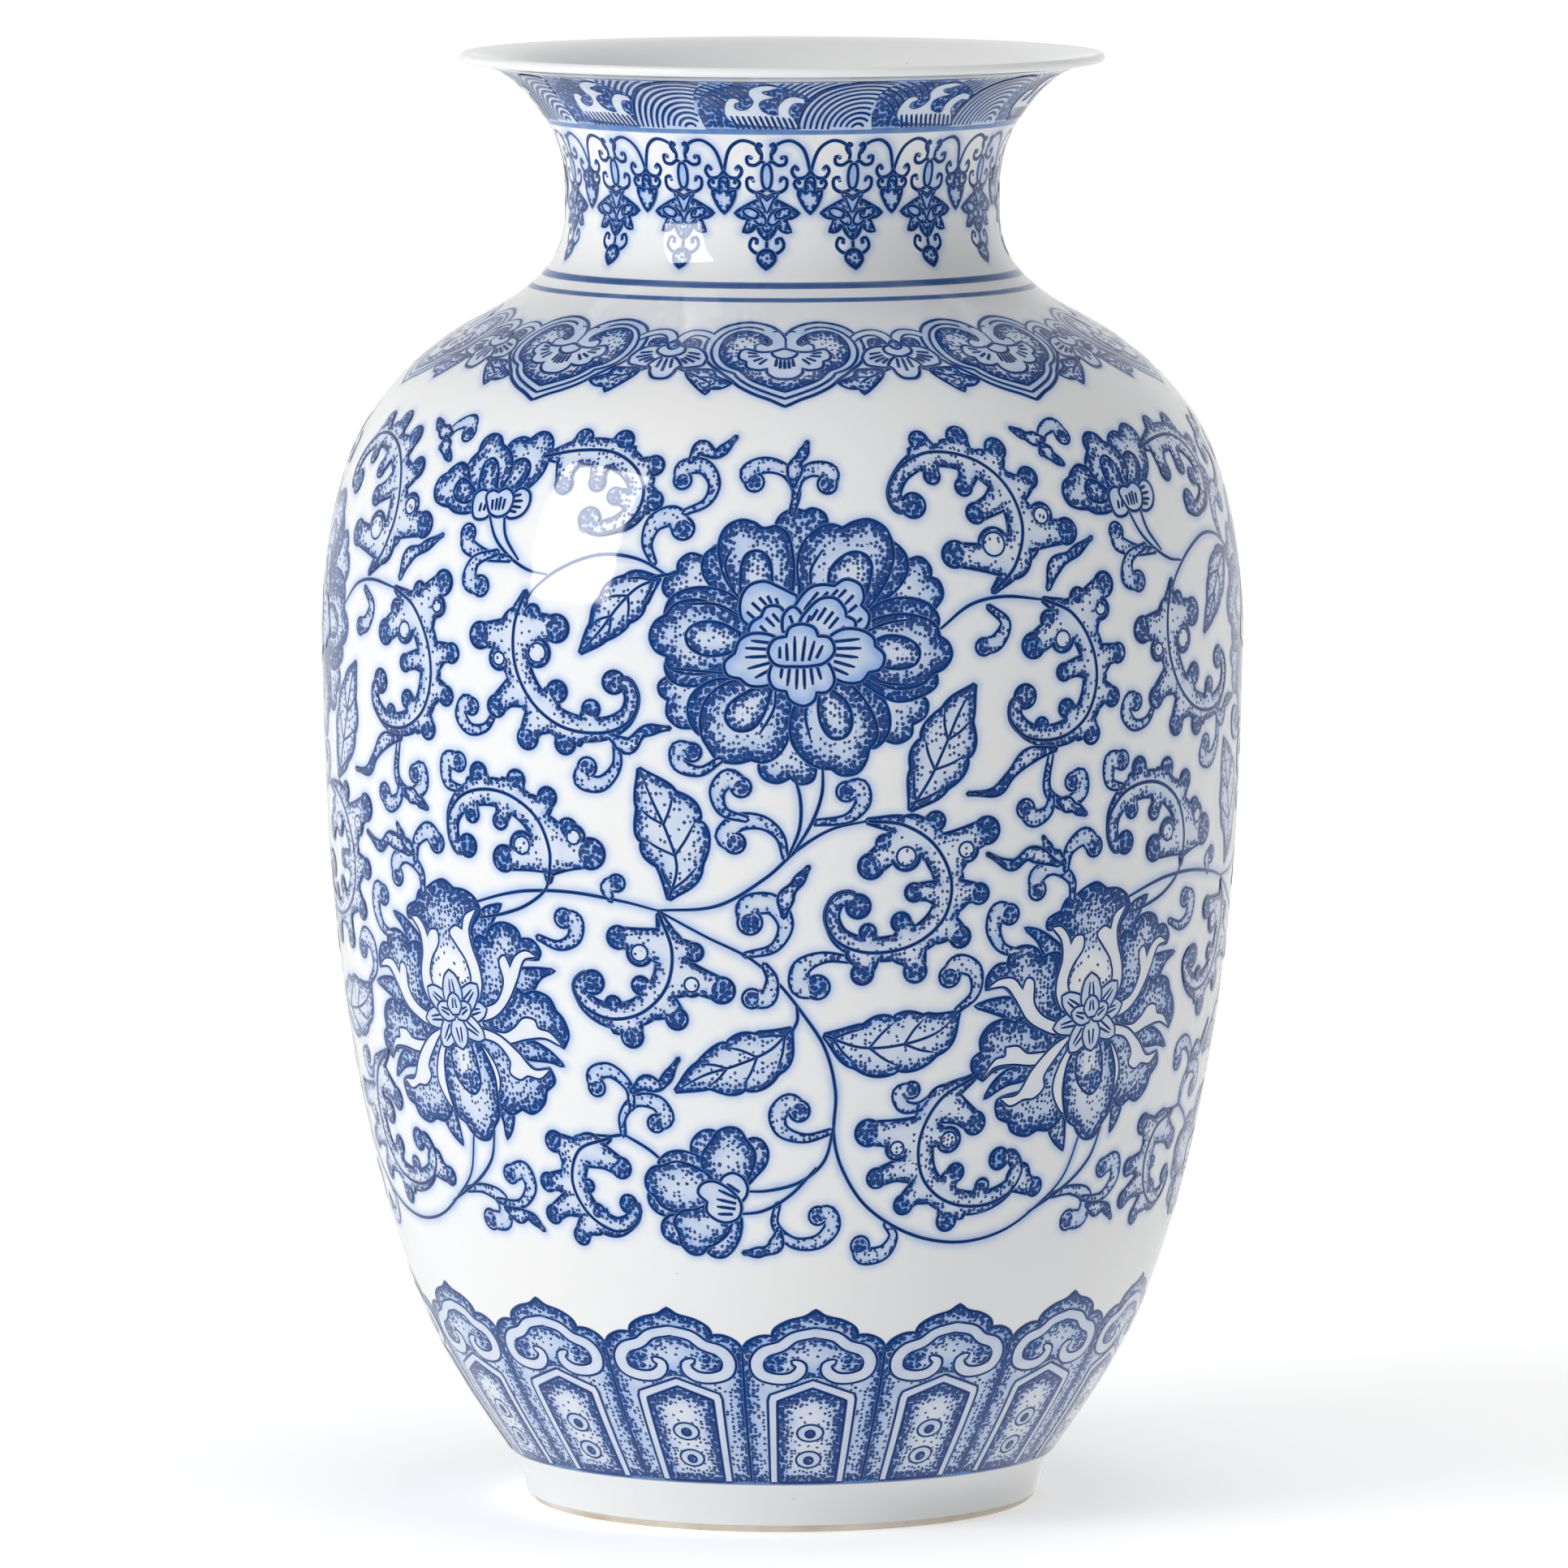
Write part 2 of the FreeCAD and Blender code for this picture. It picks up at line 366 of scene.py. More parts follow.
def inside(outline, points):
    """Which points lie inside a closed outline."""
    a, b = outline, np.roll(outline, -1, axis=0)
    x, y = points[:, :1], points[:, 1:]
    spans = (a[:, 1] > y) != (b[:, 1] > y)
    crossing = (b[:, 0] - a[:, 0]) * (y - a[:, 1]) / (b[:, 1] - a[:, 1] + 1e-12) + a[:, 0]
    return (spans & (x < crossing)).sum(axis=1) % 2 == 1


def distance_to(outline, points):
    """How far each point is from a closed outline."""
    a = outline
    edge = np.roll(a, -1, axis=0) - a
    from_start = points[:, None] - a[None]
    t = np.clip((from_start * edge).sum(-1) / ((edge ** 2).sum(-1) + 1e-12), 0, 1)
    return np.sqrt(((from_start - t[..., None] * edge) ** 2).sum(-1)).min(axis=1)


class Sketch:
    """One motif: layers of paint on a flat plan in millimetres, to be wrapped on the vase.

    at is the plan's origin as degrees and millimetres along the wall, and degree is how many millimetres
    one degree measures there. A twin sketch repeats everything mirrored left to right. under is how many
    layers of another sketch may lie below this one.
    """

    def __init__(self, at=(0.0, 0.0), degree=1.4, twin=False, under=0):
        self.at, self.degree, self.twin, self.under = at, degree, twin, under
        self.vertices, self.paint, self.triangles = [], [], []
        self.count = 0
        self.top = {}
        self.marks = []

    def plan(self, points):
        """Points given in degrees, millimetres and anything more, in plan millimetres."""
        points = np.array(points, float)
        points[:, 0] *= self.degree
        return points

    def keep(self, places, triangles, paint):
        """Adds one layer of triangles, just above whatever already lies under it."""
        mirrors = (1, -1) if self.twin else (1,)
        cells = set()
        for mirror in mirrors:
            for across, up in ((-PROBE, -PROBE), (PROBE, -PROBE), (-PROBE, PROBE), (PROBE, PROBE)):
                probes = np.floor((places * (mirror, 1) + (across, up)) / CELL).astype(int)
                cells.update(map(tuple, probes.tolist()))
        level = 1 + max(self.top.get(cell, self.under) for cell in cells)
        self.top.update(dict.fromkeys(cells, level))
        for mirror in mirrors:
            turned = triangles if mirror > 0 else triangles[:, ::-1]
            self.vertices.append(np.c_[places[:, 0] * mirror, places[:, 1], np.full(len(places), level)])
            self.triangles.append(turned + self.count)
            self.paint.append(paint)
            self.count += len(places)

    def line(self, path, width=LINE, ends=(1.0, 1.0), closed=False, tone=1.0):
        """A brushed line along a path, which may thin out towards its ends, with a soft edge."""
        size = len(path)
        t = np.linspace(0.0, 1.0, size)
        full = np.ones(size)
        if not closed:
            full = np.minimum(ends[0] + (1 - ends[0]) * np.minimum(t * THINNING, 1),
                              ends[1] + (1 - ends[1]) * np.minimum((1 - t) * THINNING, 1))
        side = sideways(path, closed)
        core = width * 0.5 * full
        bend = bending(path, closed)
        left = np.minimum(core + LINE_EDGE, TIGHTEST / np.maximum(bend, 1e-6))[:, None]
        right = np.minimum(core + LINE_EDGE, TIGHTEST / np.maximum(-bend, 1e-6))[:, None]
        core = core[:, None] * LINE_CORE
        places = np.vstack([path + side * left, path + side * np.minimum(core, left * 0.9),
                            path - side * np.minimum(core, right * 0.9), path - side * right])
        paint = np.zeros((4 * size, 3))
        paint[:, 0] = 0.85
        paint[:, 2] = np.repeat([0.45, 1.0, 1.0, 0.45], size) * tone
        rows = size if closed else size - 1
        triangles = []
        for column in range(3):
            for i in range(rows):
                j = (i + 1) % size
                a, b = column * size + i, column * size + j
                triangles += [(a, a + size, b), (b, a + size, b + size)]
        self.keep(places, np.array(triangles), paint)
        self.marks.append(path)

    def stroke(self, points, **options):
        """A brushed line through points given in degrees and millimetres."""
        corners = options.pop("corners", ())
        closed = options.get("closed", False)
        self.line(smooth(self.plan(points), closed, corners), **options)

    def fill(self, outline, wash=(0.3, 0.8), dots=(0.2, 1.0), reach=1.0, grid=0.75, among=()):
        """Wash and stipple inside an outline, each given as its middle and its edge amount.

        The edge is that of the whole shape, if the outline is one among several that run together.
        """
        low, high = outline.min(axis=0), outline.max(axis=0)
        xs, ys = np.arange(low[0], high[0], grid), np.arange(low[1], high[1], grid * 0.87)
        if len(xs) and len(ys):
            x, y = np.meshgrid(xs, ys)
            x[1::2] += grid / 2
            points = np.c_[x.ravel(), y.ravel()]
            points = points[inside(outline, points)]
            points = points[distance_to(outline, points) > grid * 0.4] if len(points) else points
        else:
            points = np.zeros((0, 2))
        size = len(outline)
        every = [Vector(p) for p in np.vstack([outline, points])]
        loop = [(i, (i + 1) % size) for i in range(size)]
        places, _, faces, *_ = delaunay_2d_cdt(every, loop, [], 1, 1e-5)
        if not faces:
            return
        places, faces = np.array([tuple(p) for p in places]), np.array(faces)
        faces = faces[inside(outline, places[faces].mean(axis=1))]
        far = distance_to(outline, places)
        for other in among:
            near = (other.min(axis=0) < high).all() and (other.max(axis=0) > low).all()
            if near and other is not outline:
                far = np.maximum(far, np.where(inside(other, places), distance_to(other, places), 0.0))
        depth = np.exp(-(far / reach) ** 1.6)
        paint = np.c_[wash[0] + (wash[1] - wash[0]) * depth, dots[0] + (dots[1] - dots[0]) * depth,
                      np.zeros(len(places))]
        self.keep(places, faces, paint)

    def shapes(self, outlines, line=LINE, tone=1.0, **options):
        """Outlines that run together into one shape with a line round the whole."""
        for outline in outlines:
            self.line(outline, width=line * 1.9, closed=True, tone=tone)
        for outline in outlines:
            self.fill(outline, among=outlines, **options)

    def build(self, name, copies=1):
        """Wraps the sketch on the vase and repeats it at even steps round it."""
        plan, paint = np.vstack(self.vertices), np.vstack(self.paint)
        triangles = np.vstack(self.triangles)
        layer = min(THICKEST, (PAINT_DEPTH - 2 * LIFT) / max(plan[:, 2].max(), 1))
        places, normals = on_wall(self.at[0] + plan[:, 0] / self.degree, self.at[1] + plan[:, 1],
                                  LIFT + layer * plan[:, 2] - PAINT_DEPTH)
        a, b, c = (places[triangles[:, k]] for k in range(3))
        facing = np.cross(b - a, c - a)
        area = np.linalg.norm(facing, axis=1)
        inward = (facing * normals[triangles[:, 0]]).sum(axis=1) < 0
        triangles[inward] = triangles[inward][:, ::-1]
        triangles = triangles[area > 1e-7]
        mesh = bpy.data.meshes.new(name)
        mesh.from_pydata((places * MM).tolist(), [], triangles.tolist())
        colours = mesh.attributes.new("paint", "FLOAT_COLOR", "POINT")
        colours.data.foreach_set("color", np.c_[paint, np.ones(len(paint))].astype(np.float32).ravel())
        flat = mesh.attributes.new("plan", "FLOAT_VECTOR", "POINT")
        flat.data.foreach_set("vector", np.c_[plan[:, :2], np.zeros(len(plan))].astype(np.float32).ravel())
        mesh.shade_smooth()
        mesh.normals_split_custom_set_from_vertices(normals.tolist())
        mesh.materials.append(MATERIALS["blue"])
        for k in range(copies):
            piece = bpy.data.objects.new(f"{name}_{k + 1}" if copies > 1 else name, mesh)
            piece.rotation_euler.z = 2 * math.pi * k / copies
            bpy.context.scene.collection.objects.link(piece)
            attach(piece, "root")
        return self


def bleed(name, sketches, copies):
    """One faint sheet below one repeat of the painting: cobalt that ran into the glaze round every line."""
    half, degree = 180.0 / copies, sketches[0].degree
    marks = []
    for sketch in sketches:
        path = np.vstack(sketch.marks)
        for mirror in (1, -1) if sketch.twin else (1,):
            across = sketch.at[0] + path[:, 0] * mirror / sketch.degree
            marks.append(np.c_[across, sketch.at[1] + path[:, 1]])
    marks = np.vstack(marks)
    marks[:, 0] = (marks[:, 0] + half) % (2 * half) - half
    marks = np.vstack([marks, marks + (2 * half, 0), marks - (2 * half, 0)])
    marks = marks[np.abs(marks[:, 0]) < half + 3] * (degree, 1)
    near = KDTree(len(marks))
    for i, mark in enumerate(marks.tolist()):
        near.insert((*mark, 0.0), i)
    near.balance()
    xs = np.linspace(-half, half, int(2 * half * degree / BLEED_GRID) + 1) * degree
    ys = np.arange(marks[:, 1].min() - BLEED, marks[:, 1].max() + BLEED, BLEED_GRID)
    far = np.array([[near.find((x, y, 0.0))[2] for x in xs] for y in ys])
    cells = np.minimum(np.minimum(far[:-1, :-1], far[1:, :-1]), np.minimum(far[:-1, 1:], far[1:,
                                                                                             1:])) < BLEED
    row, column = np.nonzero(cells)
    a = row * len(xs) + column
    corners = np.vstack([np.c_[a, a + 1, a + len(xs)], np.c_[a + 1, a + len(xs) + 1, a + len(xs)]])
    used, corners = np.unique(corners, return_inverse=True)
    places = np.array([(x, y) for y in ys for x in xs])[used]
    depth = far.ravel()[used]
    wash = BLEED_WASH * np.exp(-(depth / BLEED * 1.9) ** 1.4) * np.clip(2 * (1 - depth / BLEED), 0, 1)
    s = Sketch((0.0, 0.0), degree)
    s.vertices, s.count = [np.c_[places, np.zeros(len(places))]], len(places)
    s.triangles, s.paint = [corners.reshape(-1, 3)], [np.c_[wash, np.zeros((len(places), 2))]]
    s.build(name, copies)


# ---- Motifs ----

# How motifs are filled: the amounts of wash and of dots at the middle and at the edge, and how many
# millimetres in the edge reaches
PLAIN = (0.0, 0.0)
DENSE = {"wash": (0.9, 0.9), "dots": (0.80, 0.88), "reach": 0.7}
CLOUD = {"wash": (0.28, 0.4), "dots": PLAIN, "reach": 0.6}
BARE = {"wash": (0.10, 0.22), "dots": PLAIN, "reach": 0.6, "line": LINE * 0.9}
PETAL = {"wash": (0.35, 0.9), "dots": (0.14, 1.0), "reach": 1.8}
SHADE = {"wash": (0.55, 0.95), "dots": (0.40, 0.95), "reach": 1.0}
EYE = {"wash": (0.28, 0.95), "dots": (0.32, 1.0), "reach": 1.5, "line": LINE * 1.05}
RIBBED = {"wash": (0.33, 0.55), "dots": PLAIN, "reach": 1.0, "line": LINE * 1.2}
SHOULDER_PETAL = dict(RIBBED, line=LINE * 1.35)


QUARTERS = 4       # times that the body's scroll repeats
TIP_HALF = 1.104   # half width of a pointed tip at its swelling, in millimetres
CURL_ROOT = 0.22   # half width of a tendril at its root
DARK_HEAD = 0.86   # share of a round head that is filled dark
LOBES = 4          # scallops on each side of a leaf


def curl(sketch, points, head):
    """A tendril that thickens from its root and ends in a round dark head at the last point."""
    spine = sketch.plan(points)
    t = np.linspace(0.0, 1.0, len(spine))
    opening = np.sin(np.minimum(t * 1.25, 1.0) * math.pi / 2) ** 1.6
    half = CURL_ROOT + (head * DARK_HEAD - CURL_ROOT) * opening
    sketch.shapes([band(np.c_[spine, half]), ellipse(*spine[-1], head)], wash=(0.35, 0.75),
                  dots=(0.10, 0.62), reach=0.65)
    sketch.fill(ellipse(*spine[-1], head * DARK_HEAD), **DENSE)


def tip(sketch, points):
    """A small flame-shaped leaf: a pale swelling at its root, a waist, and a dark end that runs out."""
    spine = smooth(sketch.plan(points))
    t = np.linspace(0.0, 1.0, len(spine))
    swell = np.exp(-((t - 0.30) / 0.20) ** 2) + 0.62 * np.exp(-((t - 0.70) / 0.15) ** 2)
    half = TIP_HALF * swell * (1 - t ** 6) + 0.05
    strip = np.c_[spine, half]
    sketch.shapes([band(strip[::2] if len(strip) > 8 else strip)], wash=(0.35, 0.85), dots=(0.14, 0.85),
                  reach=0.6)
    dark = np.c_[spine, half * 0.85][int(len(spine) * 0.55)::2]
    if len(dark) > 1:
        sketch.fill(band(dark), **DENSE)


def leaf(sketch, rib, left, right):
    """A leaf with a bent rib and scalloped sides, each scallop with a vein and a stippled rim."""
    line = smooth(np.c_[sketch.plan(rib), left, right])
    path, side = line[:, :2], sideways(line[:, :2])
    size = len(path)
    t = np.linspace(0.0, 1.0, size)
    ripple = (0.94 + 0.17 * np.abs(np.sin(LOBES * math.pi * t)) ** 0.7)[:, None]
    outline = np.vstack([path + side * line[:, 2:3] * ripple, (path - side * line[:, 3:4] * ripple)[::-1]])
    sketch.shapes([outline], wash=(0.36, 0.95), dots=(0.22, 1.0), reach=1.15)
    sketch.line(path, width=LINE * 0.95, ends=(1.0, 0.4))
    for k in range(1, LOBES):
        end = int((size - 1) * k / LOBES)
        start = int((size - 1) * (k / LOBES - 0.17))
        for way, column in ((1, 2), (-1, 3)):
            target = path[end] + way * side[end] * line[end, column] * 0.80
            bend = (path[start] + target) / 2 + way * side[start] * 0.30
            sketch.line(smooth([path[start], bend, target]), width=LINE * 0.85, ends=(1.0, 0.3))


def scroll(sketch, spine, head, outer, inner, rings=()):
    """An acanthus scroll: a broad curling strip with a rib, lobes along both sides and dark round ends."""
    path = smooth(sketch.plan(spine))
    size = len(path)
    t = np.linspace(0.0, 1.0, size)
    side = sideways(path)
    before, after = path[1:-1] - path[:-2], path[2:] - path[1:-1]
    left_turn = (before[:, 0] * after[:, 1] - before[:, 1] * after[:, 0]).sum()
    out = -side if left_turn > 0 else side
    # Half widths towards the inside and the outside of the curl, which open from the stem and then narrow
    opening = np.minimum(1, t / 0.16)
    inward = (0.3 + 2.5 * opening) * (1 - 0.34 * t ** 2)
    outward = (0.2 + 1.9 * opening) * np.clip(1 - (t / 0.80) ** 4, 0.0, 1.0)
    middle, half = path + out * ((outward - inward) / 2)[:, None], (outward + inward) / 2
    strip = [band(np.c_[middle, half][::3])]
    heads = [ellipse(*(path[-1] - out[-1] * inward[-1] * 0.4), head)]
    for lobes, way, reached in ((outer, 1, outward), (inner, -1, inward)):
        for x, y, radius in sketch.plan(lobes):
            centre = np.array([x, y])
            near = max(int(size * 0.14), int(np.argmin(np.hypot(*(path[:int(size * 0.9)] - centre).T))))
            root = path[near] + way * out[near] * reached[near] * 0.5
            bend = (root + centre) / 2 + (path[max(near - 2, 0)] - path[near]) * 0.3
            strip.append(band([(*root, radius * 1.75), (*bend, radius * 1.05), (*centre, radius * 0.85)]))
            heads.append(ellipse(*centre, radius))
    rounds = sketch.plan(rings) if len(rings) else []
    patches = [ellipse(x, y, radius + 0.8) for x, y, radius in rounds]
    sketch.shapes(strip + heads + patches, wash=(0.28, 0.85), dots=(0.10, 0.95), reach=1.05)
    for outline in heads:
        centre = outline.mean(axis=0)
        sketch.fill(centre + (outline - centre) * 0.88, **DENSE)
    sketch.line(path[:int(size * 0.97)], width=LINE * 1.15, ends=(1.0, 0.5))
    for x, y, radius in rounds:
        sketch.line(ellipse(x, y, radius), width=LINE * 1.6, closed=True)
        sketch.fill(ellipse(x, y, radius), wash=(0.12, 0.4), dots=(0.12, 0.35), reach=0.8)


def polar(direction, distance, across=0.0):
    """A place so far out in a direction in degrees, and so far to its left."""
    a = math.radians(direction)
    return distance * math.cos(a) - across * math.sin(a), distance * math.sin(a) + across * math.cos(a)


def mirrored(points, side):
    """Points as they are for a side of 1, and turned left to right for a side of -1."""
    return [(side * x, *rest) for x, *rest in points]


def drawn(sketch, points, corners=(), **look):
    """One closed shape through points in degrees and millimetres, filled and outlined."""
    sketch.shapes([smooth(sketch.plan(points), closed=True, corners=corners)], **look)


def washed(sketch, points, **look):
    """One closed shape through points in degrees and millimetres, filled only."""
    sketch.fill(smooth(sketch.plan(points), closed=True), **look)


def even(sketch, half, corners=(), **look):
    """One closed shape given as its right half, from its top on the axis to its foot on the axis."""
    size = len(half)
    whole = list(half) + [(-x, y) for x, y in half[-2:0:-1]]
    corners = set(corners) | {2 * size - 2 - corner for corner in corners if 0 < corner < size - 1}
    drawn(sketch, whole, sorted(corners), **look)


def ribs(sketch, pairs, width=LINE * 1.1):
    """Fine short lines, each as two ends, dark at the first and fading to the second."""
    for x1, y1, x2, y2 in pairs:
        sketch.stroke([(x1, y1), (x2, y2)], width=width, ends=(1.0, 0.5))


def peony():
    """The large open flower: scalloped petals in two rows, ribbed inner petals and a ribbed heart."""
    s = Sketch((0.0, 0.0), 1.42)
    behind = {"wash": (0.35, 0.9), "dots": (0.16, 1.0), "reach": 1.7}
    shade = {"wash": (0.7, 1.0), "dots": (0.62, 1.0), "reach": 1.3}
    petal = {"wash": (0.42, 0.9), "dots": (0.14, 1.05), "reach": 2.5}
    eye = {"wash": (0.28, 0.9), "dots": (0.26, 0.95), "reach": 1.2, "line": LINE * 1.1}
    rib = {"wash": (0.42, 0.82), "dots": PLAIN, "reach": 1.3, "line": LINE * 1.3}
    drawn(s, [(0.2, 185), (-0.7, 187.6), (0, 189.6), (1.6, 190.6), (2.8, 190.2), (3.8, 190.7), (5.2, 189.8),
              (5.5, 188), (4.4, 184), (2.2, 178), (1.2, 178)], (0,), **shade)
    drawn(s, [(13, 184), (15.4, 181.2), (17.2, 181.8), (18.4, 180), (18.3, 178.3), (19.4, 177.6),
              (19.8, 175.2), (18.6, 172.8), (14, 173), (12, 178)], (1, 4, 7), **behind)
    drawn(s, [(-8, 184), (-9.6, 182), (-11.4, 182.6), (-12.7, 181.2), (-12.8, 179.6), (-14.2, 178.6),
              (-14.5, 176.2), (-12.8, 174.4), (-7, 176)], (1, 4, 7), **behind)
    drawn(s, [(-9, 161.6), (-13.4, 161.6), (-14.9, 160), (-14.8, 158.4), (-13.8, 157.3), (-13.9, 154.6),
              (-12.6, 152.8), (-11, 152.6), (-8, 156)], (1, 4, 7), **behind)
    drawn(s, [(12, 161), (17.4, 160), (16.8, 158), (17.7, 156.6), (17.4, 154.4), (15.8, 153), (15.6, 151),
              (14, 149.9), (12, 150.8), (9, 156)], (2, 5, 8), **behind)
    drawn(s, [(-1.4, 150), (-2.7, 146), (-2.2, 144), (-0.6, 143.2), (1, 144.1), (2.2, 143), (3.6, 143.6),
              (4, 145.8), (2.6, 150), (1, 154)], (0, 4, 7), **behind)
    for points in (
        [(-7, 184), (-9.4, 182.6), (-9.6, 179.4), (-7.6, 176), (-4.6, 173.5), (-4, 180)],
        [(13, 184.8), (15.2, 182.6), (15.3, 179.2), (13, 175.4), (9.6, 173), (10, 180)],
        [(-13.9, 164), (-13.8, 161.4), (-12, 160), (-8, 160.4), (-4, 160.6), (-5, 165)],
        [(-8, 160.8), (-10.8, 158.2), (-11.3, 154.6), (-9.8, 151.4), (-6, 153), (-5, 160)],
        [(7, 161), (11.4, 158.6), (12.9, 154.8), (12.6, 151), (10.8, 149.2), (8, 155)],
        [(18, 163), (18.9, 160), (17, 158), (14, 157.2), (11.6, 158.8), (9.4, 161.4), (12, 163)],
        [(9.2, 170), (11.2, 173.4), (14.6, 174.8), (17.8, 173.8), (19.2, 171), (18, 168), (12, 168)],
        [(-14, 171), (-13.8, 174.4), (-11.6, 176.4), (-8.4, 176.6), (-5.6, 174.8), (-4.4, 171), (-9, 170)],
    ):
        drawn(s, points, **shade)
    drawn(s, [(-4.4, 174.6), (-6.6, 178), (-7.6, 181.8), (-7.7, 185), (-6.9, 187.4), (-5.2, 188.6),
              (-3.6, 188.2), (-2.4, 187.2), (-0.8, 187.6), (0.5, 186.4), (1, 184.2), (1.3, 181),
              (1.1, 176), (0.4, 172)], (8,), **petal)
    drawn(s, [(2.4, 173), (2.2, 177), (2, 181), (2.6, 184.4), (4.2, 186.8), (6, 187.8), (7.6, 187.2),
              (9, 188.2), (11, 188.6), (12.8, 187.2), (13.6, 185), (13.7, 182), (12.6, 177.8),
              (10.4, 173.6), (8, 171)], (6, 10), **petal)
    drawn(s, [(-4.4, 170), (-7.4, 173.2), (-10.4, 174.6), (-13, 173.8), (-14.2, 171.9), (-15.5, 170.6),
              (-16.1, 168.2), (-15.4, 166), (-14, 165), (-13.8, 163.2), (-12, 162.2), (-9, 162.2),
              (-5.6, 163.4)], (4, 8), **petal)
    drawn(s, [(9, 169), (11.4, 171.2), (14.6, 172), (17.4, 171.2), (18.9, 169.8), (19.3, 168),
              (20.4, 166.8), (20.8, 164.8), (19.9, 162.8), (18.4, 161.8), (17, 160), (14, 159.4),
              (11.4, 160.8), (9.6, 163)], (5, 9), **petal)
    drawn(s, [(-3, 161), (-6.6, 160.2), (-9, 157.6), (-9.8, 154), (-9.6, 151), (-8.8, 149), (-7.8, 147.2),
              (-5.6, 146.6), (-3.8, 147.2), (-2.2, 146.8), (-0.6, 148), (0.5, 150.6), (0.8, 154.6),
              (0.3, 160)], (5, 8), **petal)
    drawn(s, [(4, 161), (2, 157.4), (1.1, 153.8), (1.3, 150.2), (2.8, 147.2), (4.6, 145.8), (6, 145.6),
              (7.2, 144.5), (9, 144.8), (10, 146.6), (10.4, 148.8), (11.4, 151), (11, 154.4),
              (9.2, 158.4), (7, 161)], (6, 10), **petal)
    for points in ([(-6.2, 177), (-7, 181), (-6.2, 184)], [(3.6, 176.6), (3.5, 180), (5, 183.6)],
                   [(-4.8, 171.8), (-8, 174), (-11.6, 174)], [(9.8, 169), (12.6, 170.6), (15.6, 171.2)],
                   [(-0.8, 160), (-1, 156), (-2.8, 151.4)], [(3.8, 160), (2.8, 155), (3.4, 150.6)],
                   [(-13.6, 162.8), (-10, 162.4), (-6.4, 162)], [(10.2, 162.2), (12.2, 160.4),
                                                                 (15.4, 159.8)]):
        s.stroke(points, ends=(0.6, 0.6))
    drawn(s, [(-4.9, 175), (-4.9, 180.4), (-4.3, 182.6), (-3, 183.2), (-1.8, 182), (-1.4, 179),
              (-1.4, 175)], (0, 6), **eye)
    drawn(s, [(6, 175), (5.9, 179.4), (7, 181.6), (8.8, 182.9), (10.4, 182.2), (10.9, 180.2), (10, 175)],
          (0, 6), **eye)
    drawn(s, [(-5.2, 169), (-7.6, 170.6), (-10, 170.6), (-11.5, 169), (-11.2, 166.8), (-9.4, 165.4),
              (-7, 165.6), (-5.4, 166.8)], (0,), **eye)
    drawn(s, [(10.6, 166.8), (12.6, 168.2), (15, 167.8), (16.6, 166), (16.3, 163.8), (14.4, 162.9),
              (12, 163.6)], (0,), **eye)
    drawn(s, [(-1.2, 160.4), (-4, 158.8), (-6.2, 156.6), (-6.7, 154.2), (-5.6, 152.4), (-3.8, 152.6),
              (-2.4, 155)], (0,), **eye)
    drawn(s, [(4.8, 160), (4.5, 156), (5, 152.8), (6.2, 150.9), (7.7, 151.4), (8.3, 153.8), (7.6, 157)],
          (0,), **eye)
    drawn(s, [(-4.6, 171.4), (-4.9, 174.6), (-4, 177), (-2.2, 177.8), (-0.4, 176.8), (1.6, 175.4),
              (1.6, 171), (-2, 169)], (5,), **rib)
    ribs(s, [(-4.6, 171, -3.7, 170), (-4.3, 172.8, -3, 171.2), (-3.7, 174.4, -2.5, 172.8),
             (-2.8, 175.3, -1.8, 173.8), (-1.8, 175.6, -1.2, 174), (-0.8, 175.2, -0.4, 173.6)])
    drawn(s, [(1.4, 172), (2.2, 174.8), (3.6, 176.8), (5, 177.2), (6.4, 177), (7.8, 178.1), (9.4, 177.2),
              (9.8, 175.2), (9.4, 173.8), (10.4, 172), (9.8, 169.8), (5, 168)], (4, 8), **rib)
    ribs(s, [(3.4, 174.6, 2.6, 173), (4.4, 176.2, 3.4, 174.6), (5.6, 176.2, 4.6, 174.9),
             (6.8, 176.6, 5.8, 175.2), (7.8, 176.6, 6.8, 175.2), (8.7, 175.6, 7.6, 174),
             (9.1, 173.9, 8, 172.6), (9.7, 171.6, 8.8, 170.6)])
    drawn(s, [(-3.8, 168.8), (-3.6, 170.6), (-2.4, 171.8), (-1.8, 173.4), (-0.4, 173.4), (0.3, 172),
              (1.2, 169), (-1, 167.6)], (2, 5), **rib)
    drawn(s, [(0.2, 169.6), (0.3, 172), (1.3, 173.4), (2.3, 172), (2.8, 169.8)], (0, 4), **rib)
    ribs(s, [(-2.7, 170.4, -1.6, 168.8), (-2.0, 171.8, -0.9, 170.2), (-1.2, 172.5, -0.3, 171),
             (0.9, 172.2, 1.3, 170.6)])
    drawn(s, [(2.3, 170.6), (3.4, 173.2), (4.8, 174.8), (6.4, 174.8), (7.4, 173.2), (7.6, 171.8),
              (8.7, 170.8), (8, 168.8), (4, 168)], (5,), **rib)
    ribs(s, [(3.4, 172.2, 2.9, 170.6), (4.3, 173.2, 3.4, 171.2), (5.3, 173.5, 4.2, 171.2),
             (6.2, 172.8, 5, 170.6), (6.8, 171.8, 5.6, 169.8), (7.6, 170.2, 6.4, 169)])
    drawn(s, [(-0.8, 168), (-3.2, 168.8), (-4.9, 167.8), (-5.6, 165.4), (-6.8, 163.8), (-6.5, 162),
              (-5, 161.4), (-3.8, 160.2), (-1.6, 160.4), (-0.6, 162), (0, 165)], (3, 6), **rib)
    ribs(s, [(-1.4, 167.4, -3.8, 167.8), (-1.5, 166.3, -4.5, 166.5), (-1.5, 165.1, -4.5, 164.9),
             (-1.4, 164, -4.2, 162.9), (-1.4, 162.8, -3.3, 161.3)])
